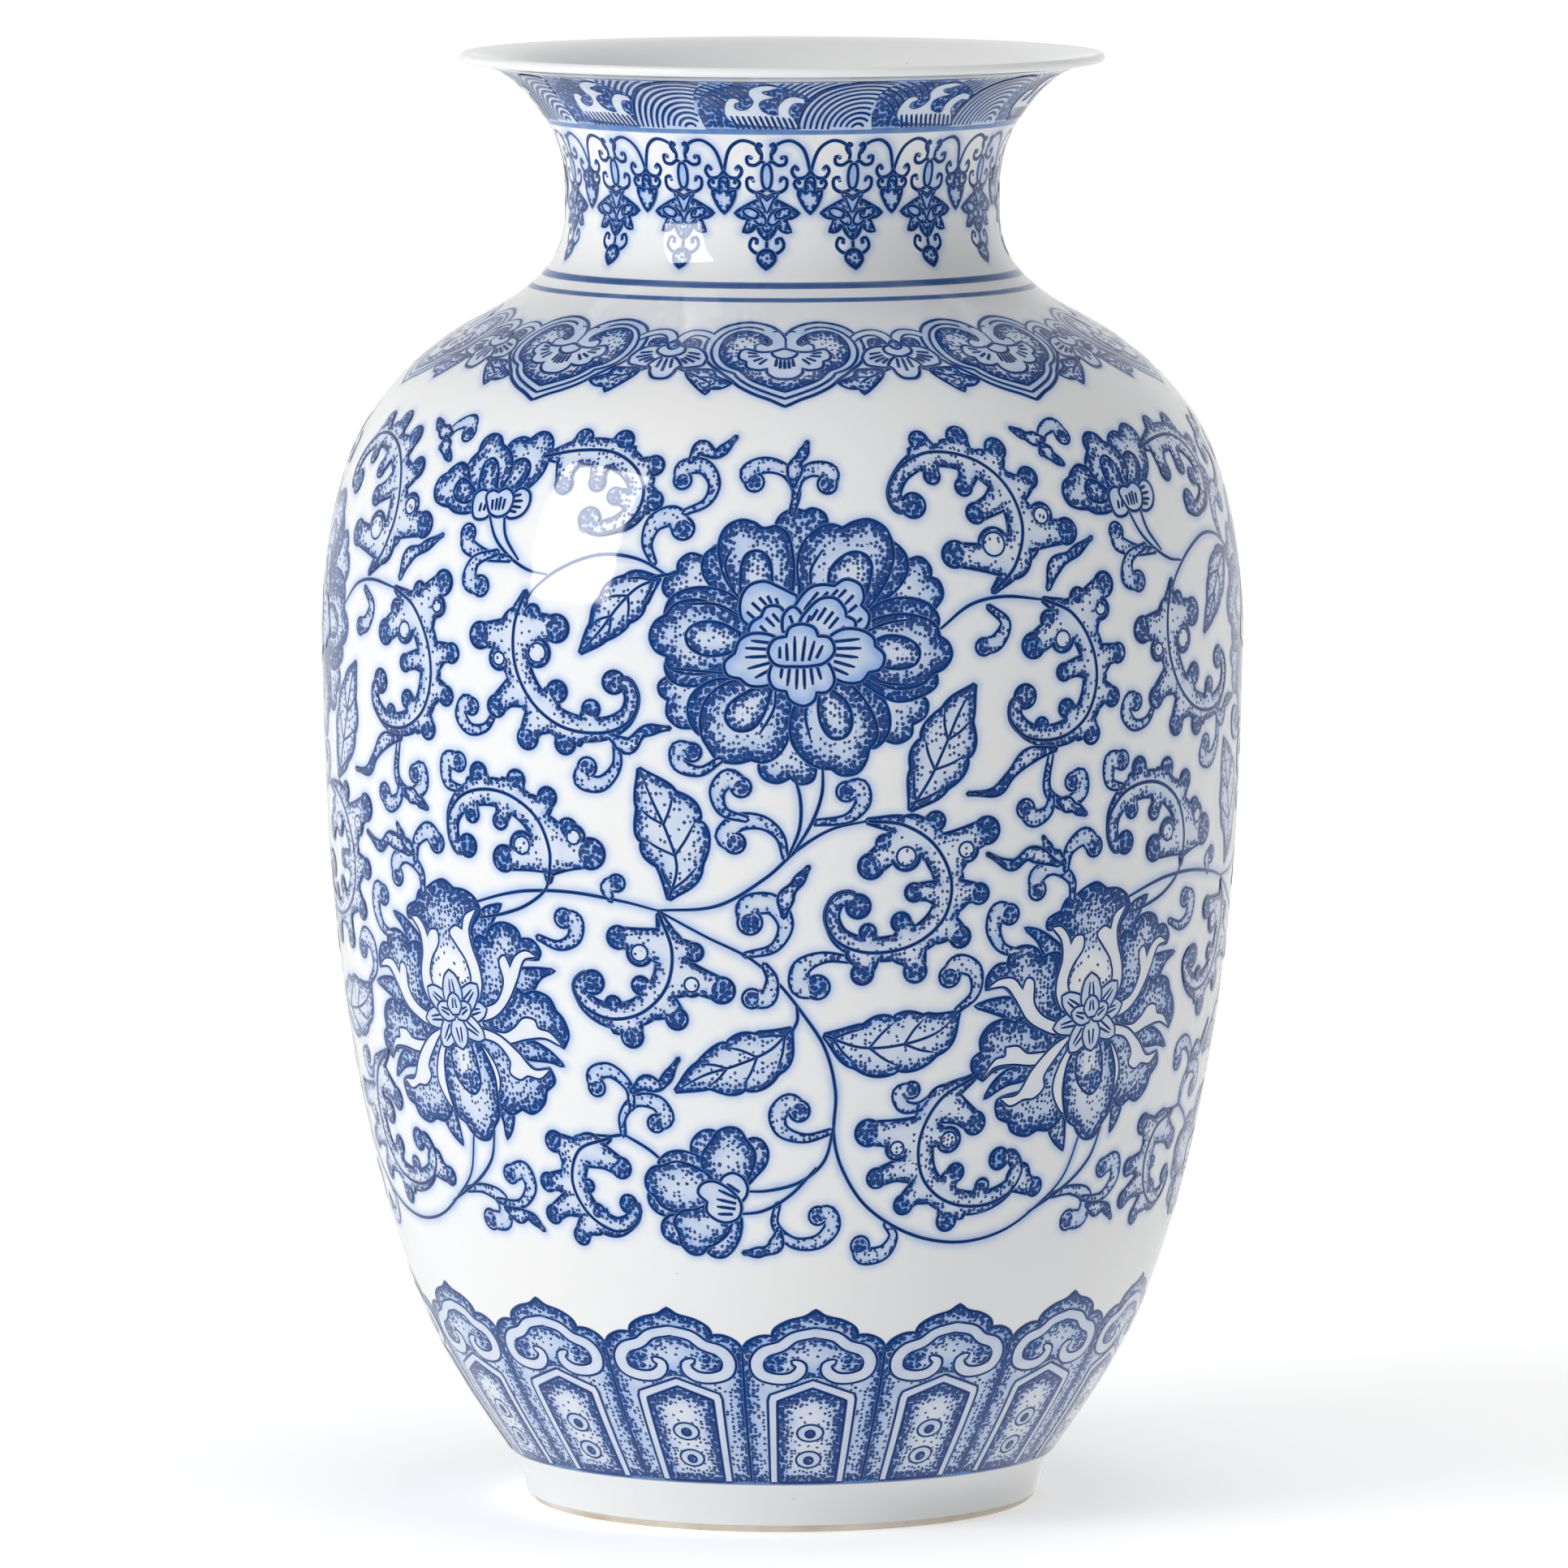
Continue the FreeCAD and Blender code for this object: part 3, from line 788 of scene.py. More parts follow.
    drawn(s, [(6, 168.4), (7.6, 169.5), (9.6, 169.2), (10.9, 168), (11.1, 166.6), (12.2, 165),
              (11.8, 163), (10.4, 162.4), (9.4, 160.8), (7.4, 160.8), (5.6, 162.4), (4, 165)], (4, 7),
          **rib)
    ribs(s, [(6.3, 167.6, 9.4, 168), (6.3, 166.4, 9.6, 166.4), (6.3, 165.3, 9.2, 164.8),
             (6.2, 164.2, 8.8, 163.1), (6, 163.1, 8, 161.8)])
    drawn(s, [(-0.6, 164), (-1.4, 161.8), (-0.9, 159.8), (0.6, 159.2), (1.1, 157.6), (2.6, 156.7),
              (3.7, 157.6), (4, 159), (5.4, 159.2), (6.1, 161), (5, 164)], (3, 7), **rib)
    ribs(s, [(0, 163.3, -0.2, 161.2), (0.9, 163.3, 0.6, 159.9), (1.8, 163.3, 1.7, 159.3),
             (2.6, 163.3, 2.7, 159.3), (3.4, 163.3, 3.7, 160.1), (4.2, 163.3, 4.7, 161)])
    drawn(s, [(-0.7, 163.9), (-1.5, 165.8), (-0.9, 167.7), (0.6, 168.3), (1, 169.8), (2.3, 170.4),
              (3.7, 169.8), (4.2, 168.3), (5.6, 168), (6.1, 166), (5, 164.2), (3.6, 163.7), (1.6, 163.6)],
          (3, 7), **rib)
    ribs(s, [(-0.3, 164.7, -0.3, 166.8), (0.6, 164.3, 0.5, 167.4), (1.5, 164.2, 1.5, 168.6),
             (2.4, 164.2, 2.8, 168.6), (3.2, 164.3, 3.9, 167.8), (4.1, 164.7, 4.9, 167)])
    return s.build("peony", QUARTERS)


def small_flower():
    """The half-open flower high on the wall, seen from the side."""
    s = Sketch((0.0, 0.0), 1.34)
    drawn(s, [(-37.2, 191.6), (-34.8, 193.6), (-33.2, 196.2), (-32.7, 199.2), (-32.8, 202),
              (-33.8, 203.6), (-35.2, 203.8), (-36.6, 202.3), (-38, 202.6), (-39.5, 201.6), (-40, 200),
              (-38.6, 197), (-39, 192.4)], (7, 10), **PETAL)
    drawn(s, [(-39.2, 191.6), (-38.7, 195.4), (-37.9, 197.8), (-36.6, 198.5), (-35.5, 197.6),
              (-35.4, 195.6), (-36.6, 193.2), (-37.6, 191.6)], (), **EYE)
    drawn(s, [(-40, 191.6), (-38.5, 195), (-38.4, 197.6), (-39.4, 199.8), (-41, 200.9), (-42, 202.5),
              (-43.6, 202.8), (-44.7, 201.4), (-44.7, 199.4), (-45.8, 197.2), (-45.4, 194.6),
              (-43.6, 192)], (4, 8), **PETAL)
    drawn(s, [(-42.4, 191.6), (-43, 195), (-42.9, 197.2), (-41.9, 198.2), (-40.8, 197.2), (-40.1, 194.6),
              (-40.2, 191.6)], (), **EYE)
    drawn(s, [(-42.6, 190.6), (-44.6, 193.4), (-46, 196.4), (-47.4, 196.9), (-48.8, 195.8),
              (-49.4, 194.8), (-50.6, 193.8), (-51, 192), (-50.4, 190.2), (-49, 189.4), (-47.6, 189.2),
              (-46, 188.3), (-43.4, 188.6)], (2, 5, 10), **PETAL)
    drawn(s, [(-42.8, 191.4), (-44.8, 193.4), (-46.3, 194), (-47.1, 192.6), (-46.6, 190.8), (-44.6, 190.2)],
          (0,), **EYE)
    drawn(s, [(-43, 189), (-43, 191.4), (-41.8, 192.3), (-40.7, 191.4), (-40.1, 189), (-40.8, 187.7),
              (-42.4, 187.6)], (), **RIBBED)
    drawn(s, [(-37, 191.6), (-35.8, 193), (-34.5, 192.4), (-34.3, 190.4), (-35.2, 188.6), (-37, 188.1),
              (-38, 190)], (), **RIBBED)
    drawn(s, [(-41, 191.6), (-40.2, 192.3), (-39.3, 192), (-38, 192.8), (-36.9, 191.6), (-37.2, 189.2),
              (-38.4, 188.2), (-39.8, 188.5), (-40.6, 190)], (2,), **RIBBED)
    ribs(s, [(-41.9, 188.6, -41.8, 190.2), (-41.2, 188.8, -41, 190.2), (-40, 190.9, -39.8, 189),
             (-39.3, 191.2, -39.2, 189), (-38.7, 191.5, -38.7, 189), (-38, 191.2, -38.1, 189.2),
             (-36.6, 191.8, -35.5, 192.1), (-36.7, 190.8, -35.1, 191), (-36.8, 189.9, -35.2, 189.8),
             (-36.8, 189.1, -35.8, 188.9)])
    return s.build("small_flower", QUARTERS)


def side_flower():
    """The low flower that hangs from the left branch, seen from the side."""
    s = Sketch((0.0, 0.0), 1.30)
    for points in (
        [(-9, 75), (-11.8, 76.4), (-11.9, 78.6), (-10.6, 80.5), (-9, 80.6), (-7, 77)],
        [(-5.2, 70.8), (-3.6, 72.8), (-2.3, 75), (-2.1, 77.4), (-3, 79.2), (-4.2, 79.3), (-5.4, 77),
         (-5.4, 73)],
        [(-10.2, 73), (-16.6, 74.4), (-15.6, 76.2), (-13.8, 76.8), (-11.6, 76.1), (-10.2, 74.8)],
        [(-13, 68), (-18.2, 69), (-18.3, 67), (-17, 65.3), (-15, 65), (-12, 66)],
        [(-13.4, 64.6), (-15.6, 64.8), (-16.7, 63.4), (-16.7, 61.4), (-15.4, 60), (-13.6, 59.8), (-12, 62)],
        [(-10, 64), (-10.8, 59.6), (-10, 57.8), (-8.4, 57.5), (-7, 59), (-6, 61.6), (-5.9, 65), (-7.4, 66)],
    ):
        drawn(s, points, (), **SHADE)
    drawn(s, [(-7.4, 70), (-9.4, 71.8), (-10.6, 74.4), (-10.4, 76.8), (-9.2, 79), (-8.6, 80.4),
              (-7.2, 81.3), (-5.8, 81), (-4.9, 79.2), (-3.8, 77), (-4, 74.4), (-5.4, 71)], (4, 8),
          **PETAL)
    drawn(s, [(-9.4, 71.4), (-11.6, 73.8), (-14.2, 74.8), (-16.2, 74), (-17.6, 73.6), (-18.6, 71.8),
              (-18.5, 69.8), (-17.4, 68.4), (-16.6, 66.8), (-14.8, 65.9), (-12.6, 65.9), (-9.6, 67.4)],
          (3, 7), **PETAL)
    drawn(s, [(-14, 65.6), (-15, 63.6), (-14.4, 61.6), (-14.3, 59.8), (-13, 58.1), (-11.6, 58),
              (-10.6, 59.3), (-9, 60.4), (-7.6, 62.2), (-7.2, 65), (-9.6, 67), (-12, 66)], (3, 6),
          **PETAL)
    drawn(s, [(-8.2, 70.4), (-8, 72), (-6.7, 72.9), (-5.4, 72), (-4.9, 70), (-5.6, 68.2), (-7, 68)], (),
          **RIBBED)
    drawn(s, [(-9.4, 71.3), (-10.8, 70.8), (-11.3, 69.4), (-10.1, 67.8), (-10.2, 66), (-9, 64.6),
              (-7.6, 64.2), (-6.2, 65), (-5.8, 66.8), (-6.2, 68.4), (-7.6, 70.2)], (3,), **RIBBED)
    ribs(s, [(-5.8, 69.6, -7.5, 71.2), (-6.2, 68.5, -8.7, 70), (-6.3, 67.5, -9, 68.3),
             (-6.4, 66.5, -9, 66.9), (-6.8, 65.5, -8.9, 65.5)])
    return s.build("side_flower", QUARTERS)


def lotus():
    """The tall lotus: a scalloped crown, curling white petals, dark side petals and a star of stamens."""
    s = Sketch((0.0, 0.0), 1.42)
    for points in (
        [(31.8, 116), (34, 115.2), (36.6, 113), (38, 111), (37, 109), (35.2, 110.6), (33.8, 113.6)],
        [(52.5, 119.7), (49.8, 118.6), (47.8, 115.8), (46.8, 112), (48.6, 112), (50.6, 116)],
        [(25.2, 102.6), (27.6, 103.5), (30.4, 103.4), (33, 100), (32, 98.6), (29.6, 100.4)],
        [(27.4, 85.8), (28.8, 88.8), (31, 90.8), (35, 91.6), (33.6, 89), (30.4, 88)],
        [(60.1, 108.6), (56.6, 108.6), (54, 107.8), (53.6, 105), (56, 104), (58, 107.2)],
        [(60.5, 91.5), (58.4, 94), (55.4, 95.6), (52, 95.2), (54.6, 92.6), (58.6, 92.2)],
        [(41.2, 75), (39.2, 77.2), (38.2, 80), (40, 85), (40.8, 80)],
        [(50.1, 77.2), (49.8, 81), (48, 85), (50, 86), (51.6, 82.2), (51.2, 79.4)],
    ):
        drawn(s, points, (0,), **SHADE)
    drawn(s, [(39, 103), (38, 109), (38.4, 113.4), (37, 115.6), (35.2, 115.7), (35.3, 117.2),
              (37.2, 118.4), (38, 120.4), (39.6, 121.1), (41, 122.2), (42.8, 122.9), (44.6, 121.6),
              (46.6, 121.4), (48.2, 120.2), (48.9, 118), (47.4, 115), (47.8, 109), (46.8, 103),
              (43, 100)], (6, 8, 11), wash=(0.35, 0.95), dots=(0.22, 1.05), reach=4.2)
    washed(s, [(39.4, 104), (40, 108.6), (41.6, 111.6), (44, 111.4), (46, 108.6), (46.2, 103.6), (43, 101)],
           wash=(0.0, 0.25), dots=(0.1, 0.3), reach=1.2)
    dark = {"wash": (0.45, 0.95), "dots": (0.36, 1.05), "reach": 2.2}
    drawn(s, [(38, 98.4), (37.4, 103), (37.4, 110.6), (36, 111), (34.5, 110.3), (33.6, 112),
              (31.8, 112.7), (30, 111.9), (29.5, 109.8), (28, 109.6), (26.8, 107.8), (26.6, 105.6),
              (29, 106), (32, 102), (35, 99)], (4, 8, 11), **dark)
    drawn(s, [(26.9, 89.2), (25.5, 90.8), (25.3, 92.8), (26.5, 94.2), (26.3, 96.6), (27.4, 98.8),
              (29.4, 99.7), (31, 99), (32.4, 99.8), (35.4, 97.4), (38.4, 97), (37, 93.6), (33, 92),
              (28.6, 91)], (0, 3, 7), **dark)
    drawn(s, [(29.5, 85.2), (29.7, 82.4), (31.4, 81.2), (32.2, 79.4), (34.4, 78.5), (36.2, 79.4),
              (38.4, 79.3), (40.2, 82), (40.6, 88), (41, 95), (39, 97), (36.4, 92), (34, 87)], (2, 5),
          **dark)
    drawn(s, [(48.2, 99.6), (47.8, 106), (47.6, 111.4), (48.4, 113.5), (50, 113.2), (50.6, 115.2),
              (52.6, 116.3), (54.6, 115.5), (55.3, 113.7), (57, 113.6), (58.1, 111.8), (57.8, 110.6),
              (55, 110), (52.4, 103)], (4, 8, 11), **dark)
    drawn(s, [(60.8, 94.9), (61.5, 97.2), (60.9, 99.8), (59.9, 101.3), (59, 103.5), (57, 104.4),
              (55.4, 103.8), (53.8, 104.6), (52, 101), (48.4, 98.4), (49.4, 96.6), (54, 96), (59, 96.4)],
          (0, 3, 6), **dark)
    drawn(s, [(58.4, 90.7), (58.9, 88.6), (57.5, 86.8), (56.9, 84.4), (55, 82.5), (53.3, 83.1),
              (51.2, 82), (49.6, 84), (48.6, 90), (46.6, 96), (49, 97), (53, 94), (56, 90.4)], (0, 2, 5),
          **dark)
    for points, corners in (
        ([(38.8, 100.4), (37.4, 103), (37.2, 106), (37.9, 110), (37.5, 113.4), (36, 115.7), (37.2, 115.7),
          (38.3, 114.3), (39, 112.3), (39.7, 113.7), (40.9, 113.7), (41, 111.6), (39.4, 108.6),
          (38.8, 105.6), (39.8, 102.4), (41, 101)], (5, 8)),
        ([(47.2, 101.2), (48.4, 104.6), (48.2, 108), (47.1, 112), (46.9, 115), (48.2, 118.4), (46.4, 117),
          (45.8, 114.4), (44.6, 115), (43.5, 113.8), (44.6, 111.8), (46.2, 109), (46.8, 105.6),
          (45.4, 102)], (5, 7)),
        ([(27, 105.8), (29.4, 105.8), (31, 103.4), (33, 99.6), (35.6, 97.5), (38, 96.6), (38.8, 98),
          (35.4, 99.8), (33.7, 102.4), (33.4, 106.4), (32.5, 106.9), (31.9, 104.9), (30.4, 107),
          (28.4, 107)], (0, 6, 11)),
        ([(27, 89.6), (28.4, 91.4), (31, 91.8), (34.8, 91.4), (37.4, 93.4), (33.4, 93.3), (31.8, 94.7),
          (30.1, 94.7), (30, 93.1), (28.6, 92.6)], (0, 4, 7)),
        ([(29.9, 85.5), (32.4, 86), (34.4, 90.2), (37.4, 94.2), (40.4, 96.2), (38.2, 92.8), (36.2, 89),
          (36.4, 87), (35, 85.3), (33.4, 85.2), (31.4, 84.2)], (0, 4)),
        ([(40.6, 94.6), (38.9, 91), (38.1, 87), (38.9, 84), (40.4, 82), (40.4, 88)], (0,)),
        ([(57.4, 110.9), (55.6, 110.2), (54.3, 106.4), (52.6, 102.4), (50.4, 99.6), (47.8, 98.6),
          (47.8, 100.2), (50.8, 102), (52.3, 105.8), (51.8, 109.6), (52.6, 110.5), (53.4, 108.4),
          (54.4, 110.6), (56, 111.7)],
         (0, 11)),
        ([(60.4, 95.2), (58, 96.4), (55, 95.9), (52, 95), (48.4, 97.2), (51.6, 96.5), (53.4, 97.6),
          (55, 99.5), (56.6, 99.3), (57.1, 97.9), (58.8, 97.3)], (0, 4)),
        ([(58.3, 90.6), (55.8, 90.4), (53.6, 93.2), (50.6, 96), (46.8, 97.2), (47, 95.8), (50.4, 94.6),
          (52.3, 91.6), (52.1, 89.5), (53.6, 88.5), (54.8, 89.3), (56.8, 89)], (0, 4)),
        ([(46.4, 95.4), (48.6, 92.4), (49.9, 89), (49.7, 86), (48.4, 84.6), (48, 90)], (0,)),
    ):
        drawn(s, points, corners, **BARE)
    drawn(s, [(42, 95), (40.4, 91.4), (39.9, 87), (40.4, 83.2), (41.4, 80.5), (42.8, 79.4), (43.7, 77.8),
              (45.2, 76.7), (46.8, 77), (47.9, 79.2), (49, 81.2), (49.2, 85), (49, 89), (47.6, 93),
              (46, 96), (44, 97)], (5, 9), wash=(0.3, 0.95), dots=(0.15, 1.05), reach=1.9)
    drawn(s, [(43, 95.4), (41.8, 92), (42, 88.4), (43.4, 86), (45, 85), (46.3, 86.6), (46.3, 90),
              (45.2, 94)], (), wash=(0.1, 0.7), dots=(0.15, 0.75), reach=1.6)
    washed(s, [(42.8, 87.6), (43.6, 86.2), (45, 85.3), (46, 86.8), (46, 89), (44.4, 89.2)],
           wash=(0.8, 0.8), dots=(0.6, 0.8))
    centre = np.array([43.4 * s.degree, 98.8])
    for direction, end, width in ((188, 8.9, 3.4), (149, 8.6, 3.6), (13, 8.1, 3.4), (-28, 7.6, 3.4),
                                  (-128, 7.3, 3.6), (45, 8.5, 3.6), (-82, 5.9, 3.6), (96, 8.1, 4.2),
                                  (165, 5.0, 2.8), (28, 4.4, 2.8), (95, 4.0, 3.0)):
        points = [polar(direction, 0.4, width * 0.25), polar(direction, end * 0.45, width * 0.56),
                  polar(direction, end * 0.85, width * 0.36), polar(direction, end),
                  polar(direction, end * 0.85, -width * 0.36), polar(direction, end * 0.45, -width * 0.56),
                  polar(direction, 0.4, -width * 0.25)]
        s.shapes([centre + smooth(points, closed=True, corners=(0, 3, 6))], line=LINE * 0.85,
                 wash=(0.3, 0.5), dots=PLAIN)
        for way in (-0.17, 0.17):
            s.line(centre + smooth([polar(direction, end * 0.35, way * width),
                                    polar(direction, end * 0.82, way * width * 0.5)]), LINE * 0.8,
                   (1, 0.4))
    return s.build("lotus", QUARTERS)


# Stems, as points in degrees and millimetres
STEMS = [
    [(-15.5, 120.2), (-8, 121.3), (-2, 126.3), (2, 131.4), (6, 134.8), (10.5, 136.2)],
    [(0.8, 130.2), (2.1, 135), (2.2, 140), (1.4, 144.5)],
    [(1.4, 130.8), (3.6, 136), (4.8, 141), (4.9, 146)],
    [(-41.5, 119.8), (-37, 121.6), (-33, 122.6), (-27, 122.8), (-20, 121.6), (-15.5, 120.2)],
    [(-30, 126), (-30.6, 123), (-33.5, 120), (-37, 118.2), (-41, 117.0)],
    [(-15.5, 120.2), (-9.5, 115.8), (-4, 112), (-0.5, 107.6), (2.4, 102.5), (5.4, 96), (6.9, 88), (6.8, 80),
     (8.0, 74), (11, 67.6), (15.5, 63), (21, 60.1), (27, 59.3), (33, 61), (38, 65), (42, 70), (44.0, 78)],
    [(1.8, 103.6), (1.9, 101.0), (1.0, 98.4)],
    [(36.5, 63.8), (43, 68.5), (46.6, 73), (48, 78.5)],
    [(6.8, 82), (5.6, 75.4), (2.5, 71.6), (-2, 69.9), (-6, 69.8)],
    [(4.6, 74.2), (1.2, 69.2), (-2.5, 66.2), (-6.4, 65.4)],
    [(-40.4, 189), (-38.6, 184.2), (-36, 181), (-33, 178.9), (-30.2, 178.3)],
    [(-37.8, 189), (-37.0, 184.6), (-34.6, 180.5)],
    [(-13.8, 178.6), (-18, 181.6), (-23, 182.2), (-28, 179.8), (-31.6, 176.2), (-33.4, 173)],
    [(-13.5, 179.2), (-15.2, 178.8), (-16.5, 178.2)],
    [(19.5, 169.4), (23.5, 173.4), (28, 174.6), (33.8, 173.7)],
    [(22.8, 101.6), (23.8, 103)],
    [(26.5, 175.5), (29.5, 178.6), (33, 181.5), (34.5, 185)],
    [(19.5, 85.5), (21.8, 87.8), (25.8, 90.4), (29, 90.4)],
    [(-21.4, 79.6), (-18, 77), (-15.6, 74.2)],
    [(-24, 79), (-21.4, 79.6)],
]

# Acanthus scrolls: spine, the radius of the head at its end, lobes outside and inside the curl, and eyes
SCROLLS = {
    "right_heart": (
        [(10.5, 136.2), (15, 135.3), (19, 131.5), (21.2, 125), (20.3, 118.6), (16.5, 114.2), (11, 112.9),
         (6.8, 115), (5.3, 119.3), (6.4, 123), (8.6, 123.6), (9.8, 121.6)], 1.9,
        [(19, 135.8, 1.5), (25.8, 133.8, 2.2), (23.2, 130.4, 1.4), (25.0, 122.7, 1.6), (22.6, 115.2, 1.7),
         (16.8, 109.4, 1.8), (10, 109.2, 1.7)],
        [(10.9, 128.2, 2.0), (12.6, 132.2, 1.3), (16.4, 123.4, 1.4), (14.8, 118.2, 1.5),
         (10.6, 116.6, 1.2)],
        [(15.3, 129.8, 1.5), (23.1, 130.6, 1.2)]),
    "right_high": (
        [(33.8, 173.7), (38, 171), (41, 165), (41.7, 158.5), (40, 152.6), (36.2, 149.4), (31.6, 149.6),
         (29, 152.6), (28.9, 156), (30.6, 157.6)], 1.9,
        [(39, 173.8, 1.4), (43.4, 175.6, 2.0), (42.8, 171.3, 1.5), (45.4, 163.4, 1.5), (44.4, 155.8, 1.5),
         (41, 149.6, 1.6)],
        [(32.1, 165.8, 2.0), (34.4, 170.2, 1.4), (36.6, 160.8, 1.3), (37, 154.4, 1.4), (33.3, 151.8, 1.1)],
        [(36.4, 166.6, 1.3), (42.6, 171.4, 0.9)]),
    "top_right": (
        [(26.8, 175.6), (30, 180), (31.6, 187), (30, 194.3), (26, 199.2), (20, 200.8), (15.5, 198),
         (13.7, 193.5), (14.6, 190.2), (16.9, 190.4)], 2.0,
        [(38.2, 185.4, 2.1), (34.2, 188.6, 1.7), (33.7, 195.3, 1.8), (29.8, 201, 1.9), (24.5, 203.6, 1.9),
         (18.8, 203.2, 1.6)],
        [(21.8, 182.3, 2.1), (25.2, 189.4, 1.6), (24, 194.2, 1.4), (19.8, 196.4, 1.3)],
        [(27.2, 183.8, 1.9), (34.6, 188.4, 1.3)]),
    "left_high": (
        [(-33.2, 175), (-34.6, 169), (-34.3, 162), (-31.8, 155.8), (-27.5, 151.8), (-22, 151.2),
         (-18.6, 153.6), (-17.7, 157.5), (-18.8, 160.6), (-20.8, 160.8)], 1.8,
        [(-39.8, 167, 2.1), (-36.9, 163, 1.5), (-37.2, 154.8, 1.7), (-32.6, 149.6, 1.8), (-27.3, 149, 1.7)],
        [(-28.6, 169, 2.2), (-32.0, 171.6, 1.2), (-28.4, 158, 1.7), (-23.8, 155.2, 1.4)],
        [(-31.2, 164.6, 1.5), (-36.8, 163.2, 1.0)]),
    "left_low": (
        [(-30, 124.5), (-29.8, 130), (-31.5, 135.5), (-35, 139), (-39, 140), (-43, 138.6), (-45.4, 135),
         (-45.6, 131), (-44.3, 128.3), (-42.3, 129)], 1.8,
        [(-24.2, 129.8, 2.5), (-27.2, 134, 1.6), (-30, 139.3, 1.6), (-34.5, 142, 1.6), (-40.3, 142.8, 1.6)],
        [(-36.6, 128, 2.1), (-37, 134.6, 1.3), (-41.5, 135.4, 1.3)],
        [(-33.8, 130.6, 1.4), (-26.4, 132.6, 1.1)]),
    "centre_low": (
        [(-15.3, 119.5), (-13.8, 113), (-14.7, 106.5), (-18, 101.9), (-22.3, 100.6), (-26, 102.8),
         (-27.2, 106.3), (-25.6, 108.6), (-24.2, 107.6)], 1.9,
        [(-11, 113, 1.4), (-7.6, 106.3, 2.1), (-11.3, 107, 1.5), (-13.4, 101, 1.7), (-19.4, 97.6, 1.8)],
        [(-20.8, 115.2, 1.8), (-17.8, 112.8, 1.7), (-18, 106.8, 1.4), (-21.8, 103.2, 1.3)],
        [(-18, 112.6, 1.3), (-11.4, 107.2, 1.1)]),
    "right_low": (
        [(25.8, 90), (21, 86), (18.5, 79), (19.2, 72), (22.7, 67.4), (28, 65.9), (32.7, 67.9), (34.4, 72),
         (32.8, 75.6), (30.4, 75.2)], 1.8,
        [(11.4, 80.4, 2.2), (15.4, 77.2, 1.7), (12.8, 72, 1.6), (16.8, 66.9, 1.6), (23.4, 63.6, 1.8),
         (37, 68.6, 1.5)],
        [(26.2, 81.4, 1.9), (22.4, 78.6, 1.6), (24, 72.4, 1.5), (28.3, 69.6, 1.2)],
        [(22.6, 78.6, 1.3), (15.4, 77.4, 1.1)]),
    "left_lowest": (
        [(-23.6, 78.8), (-28.2, 76.3), (-29.8, 70.5), (-28, 64.7), (-24, 61.5), (-20.8, 63), (-20, 66.4),
         (-21.4, 67.4)], 1.5,
        [(-32, 77.5, 1.7), (-33.8, 69.8, 1.5), (-33.6, 63.8, 1.5), (-29.4, 60.2, 1.5)],
        [(-22.2, 73.4, 1.7), (-27.4, 69.7, 1.0), (-26.4, 64.9, 1.3)],
        []),
    "top_left": (
        [(-33.4, 199.3), (-28, 200.8), (-23, 200.6), (-19.4, 197.6), (-18, 193), (-19.4, 188.2),
         (-23, 185.8), (-26.2, 187), (-25.4, 188.8)], 1.9,
        [(-28, 203.2, 1.6), (-22, 203.0, 1.8), (-17, 198.4, 1.6), (-16.6, 192, 1.5)],
        [(-29.4, 194.4, 1.6), (-24.6, 195, 1.4), (-21.8, 192.6, 1.3)],
        []),
}

# Leaves: rib, and half widths to its left and right at each of its points
LEAVES = {
    "tall": ([(-14, 122.4), (-13, 128), (-14.2, 134), (-16, 139.6), (-17.6, 145)],
             [0.2, 3.4, 5.0, 3.0, 0.1], [0.2, 4.4, 6.4, 4.4, 0.1]),
    "raised": ([(15.8, 138), (18.3, 143.5), (20.3, 149.5), (22, 155), (23.9, 159.4)],
               [0.2, 4.0, 4.6, 2.8, 0.1], [0.2, 3.8, 4.8, 2.6, 0.1]),
    "left": ([(1.1, 99.4), (-1.6, 95.6), (-6, 92.8), (-10, 91), (-13.9, 88)],
             [0.2, 4.2, 4.8, 2.6, 0.1], [0.2, 3.6, 4.4, 2.6, 0.1]),
    "right": ([(5.4, 98.2), (10, 96), (15, 96.2), (20, 98.2), (22.8, 101.6)],
              [0.2, 4.2, 5.2, 3.6, 0.2], [0.2, 3.9, 4.6, 3.4, 0.2]),
    "small": ([(-15.2, 178.4), (-18, 176.6), (-20.4, 173.2), (-22.4, 169.4), (-25.2, 165)],
              [0.1, 3.0, 3.4, 2.2, 0.1], [0.1, 2.8, 3.6, 2.4, 0.1]),
}

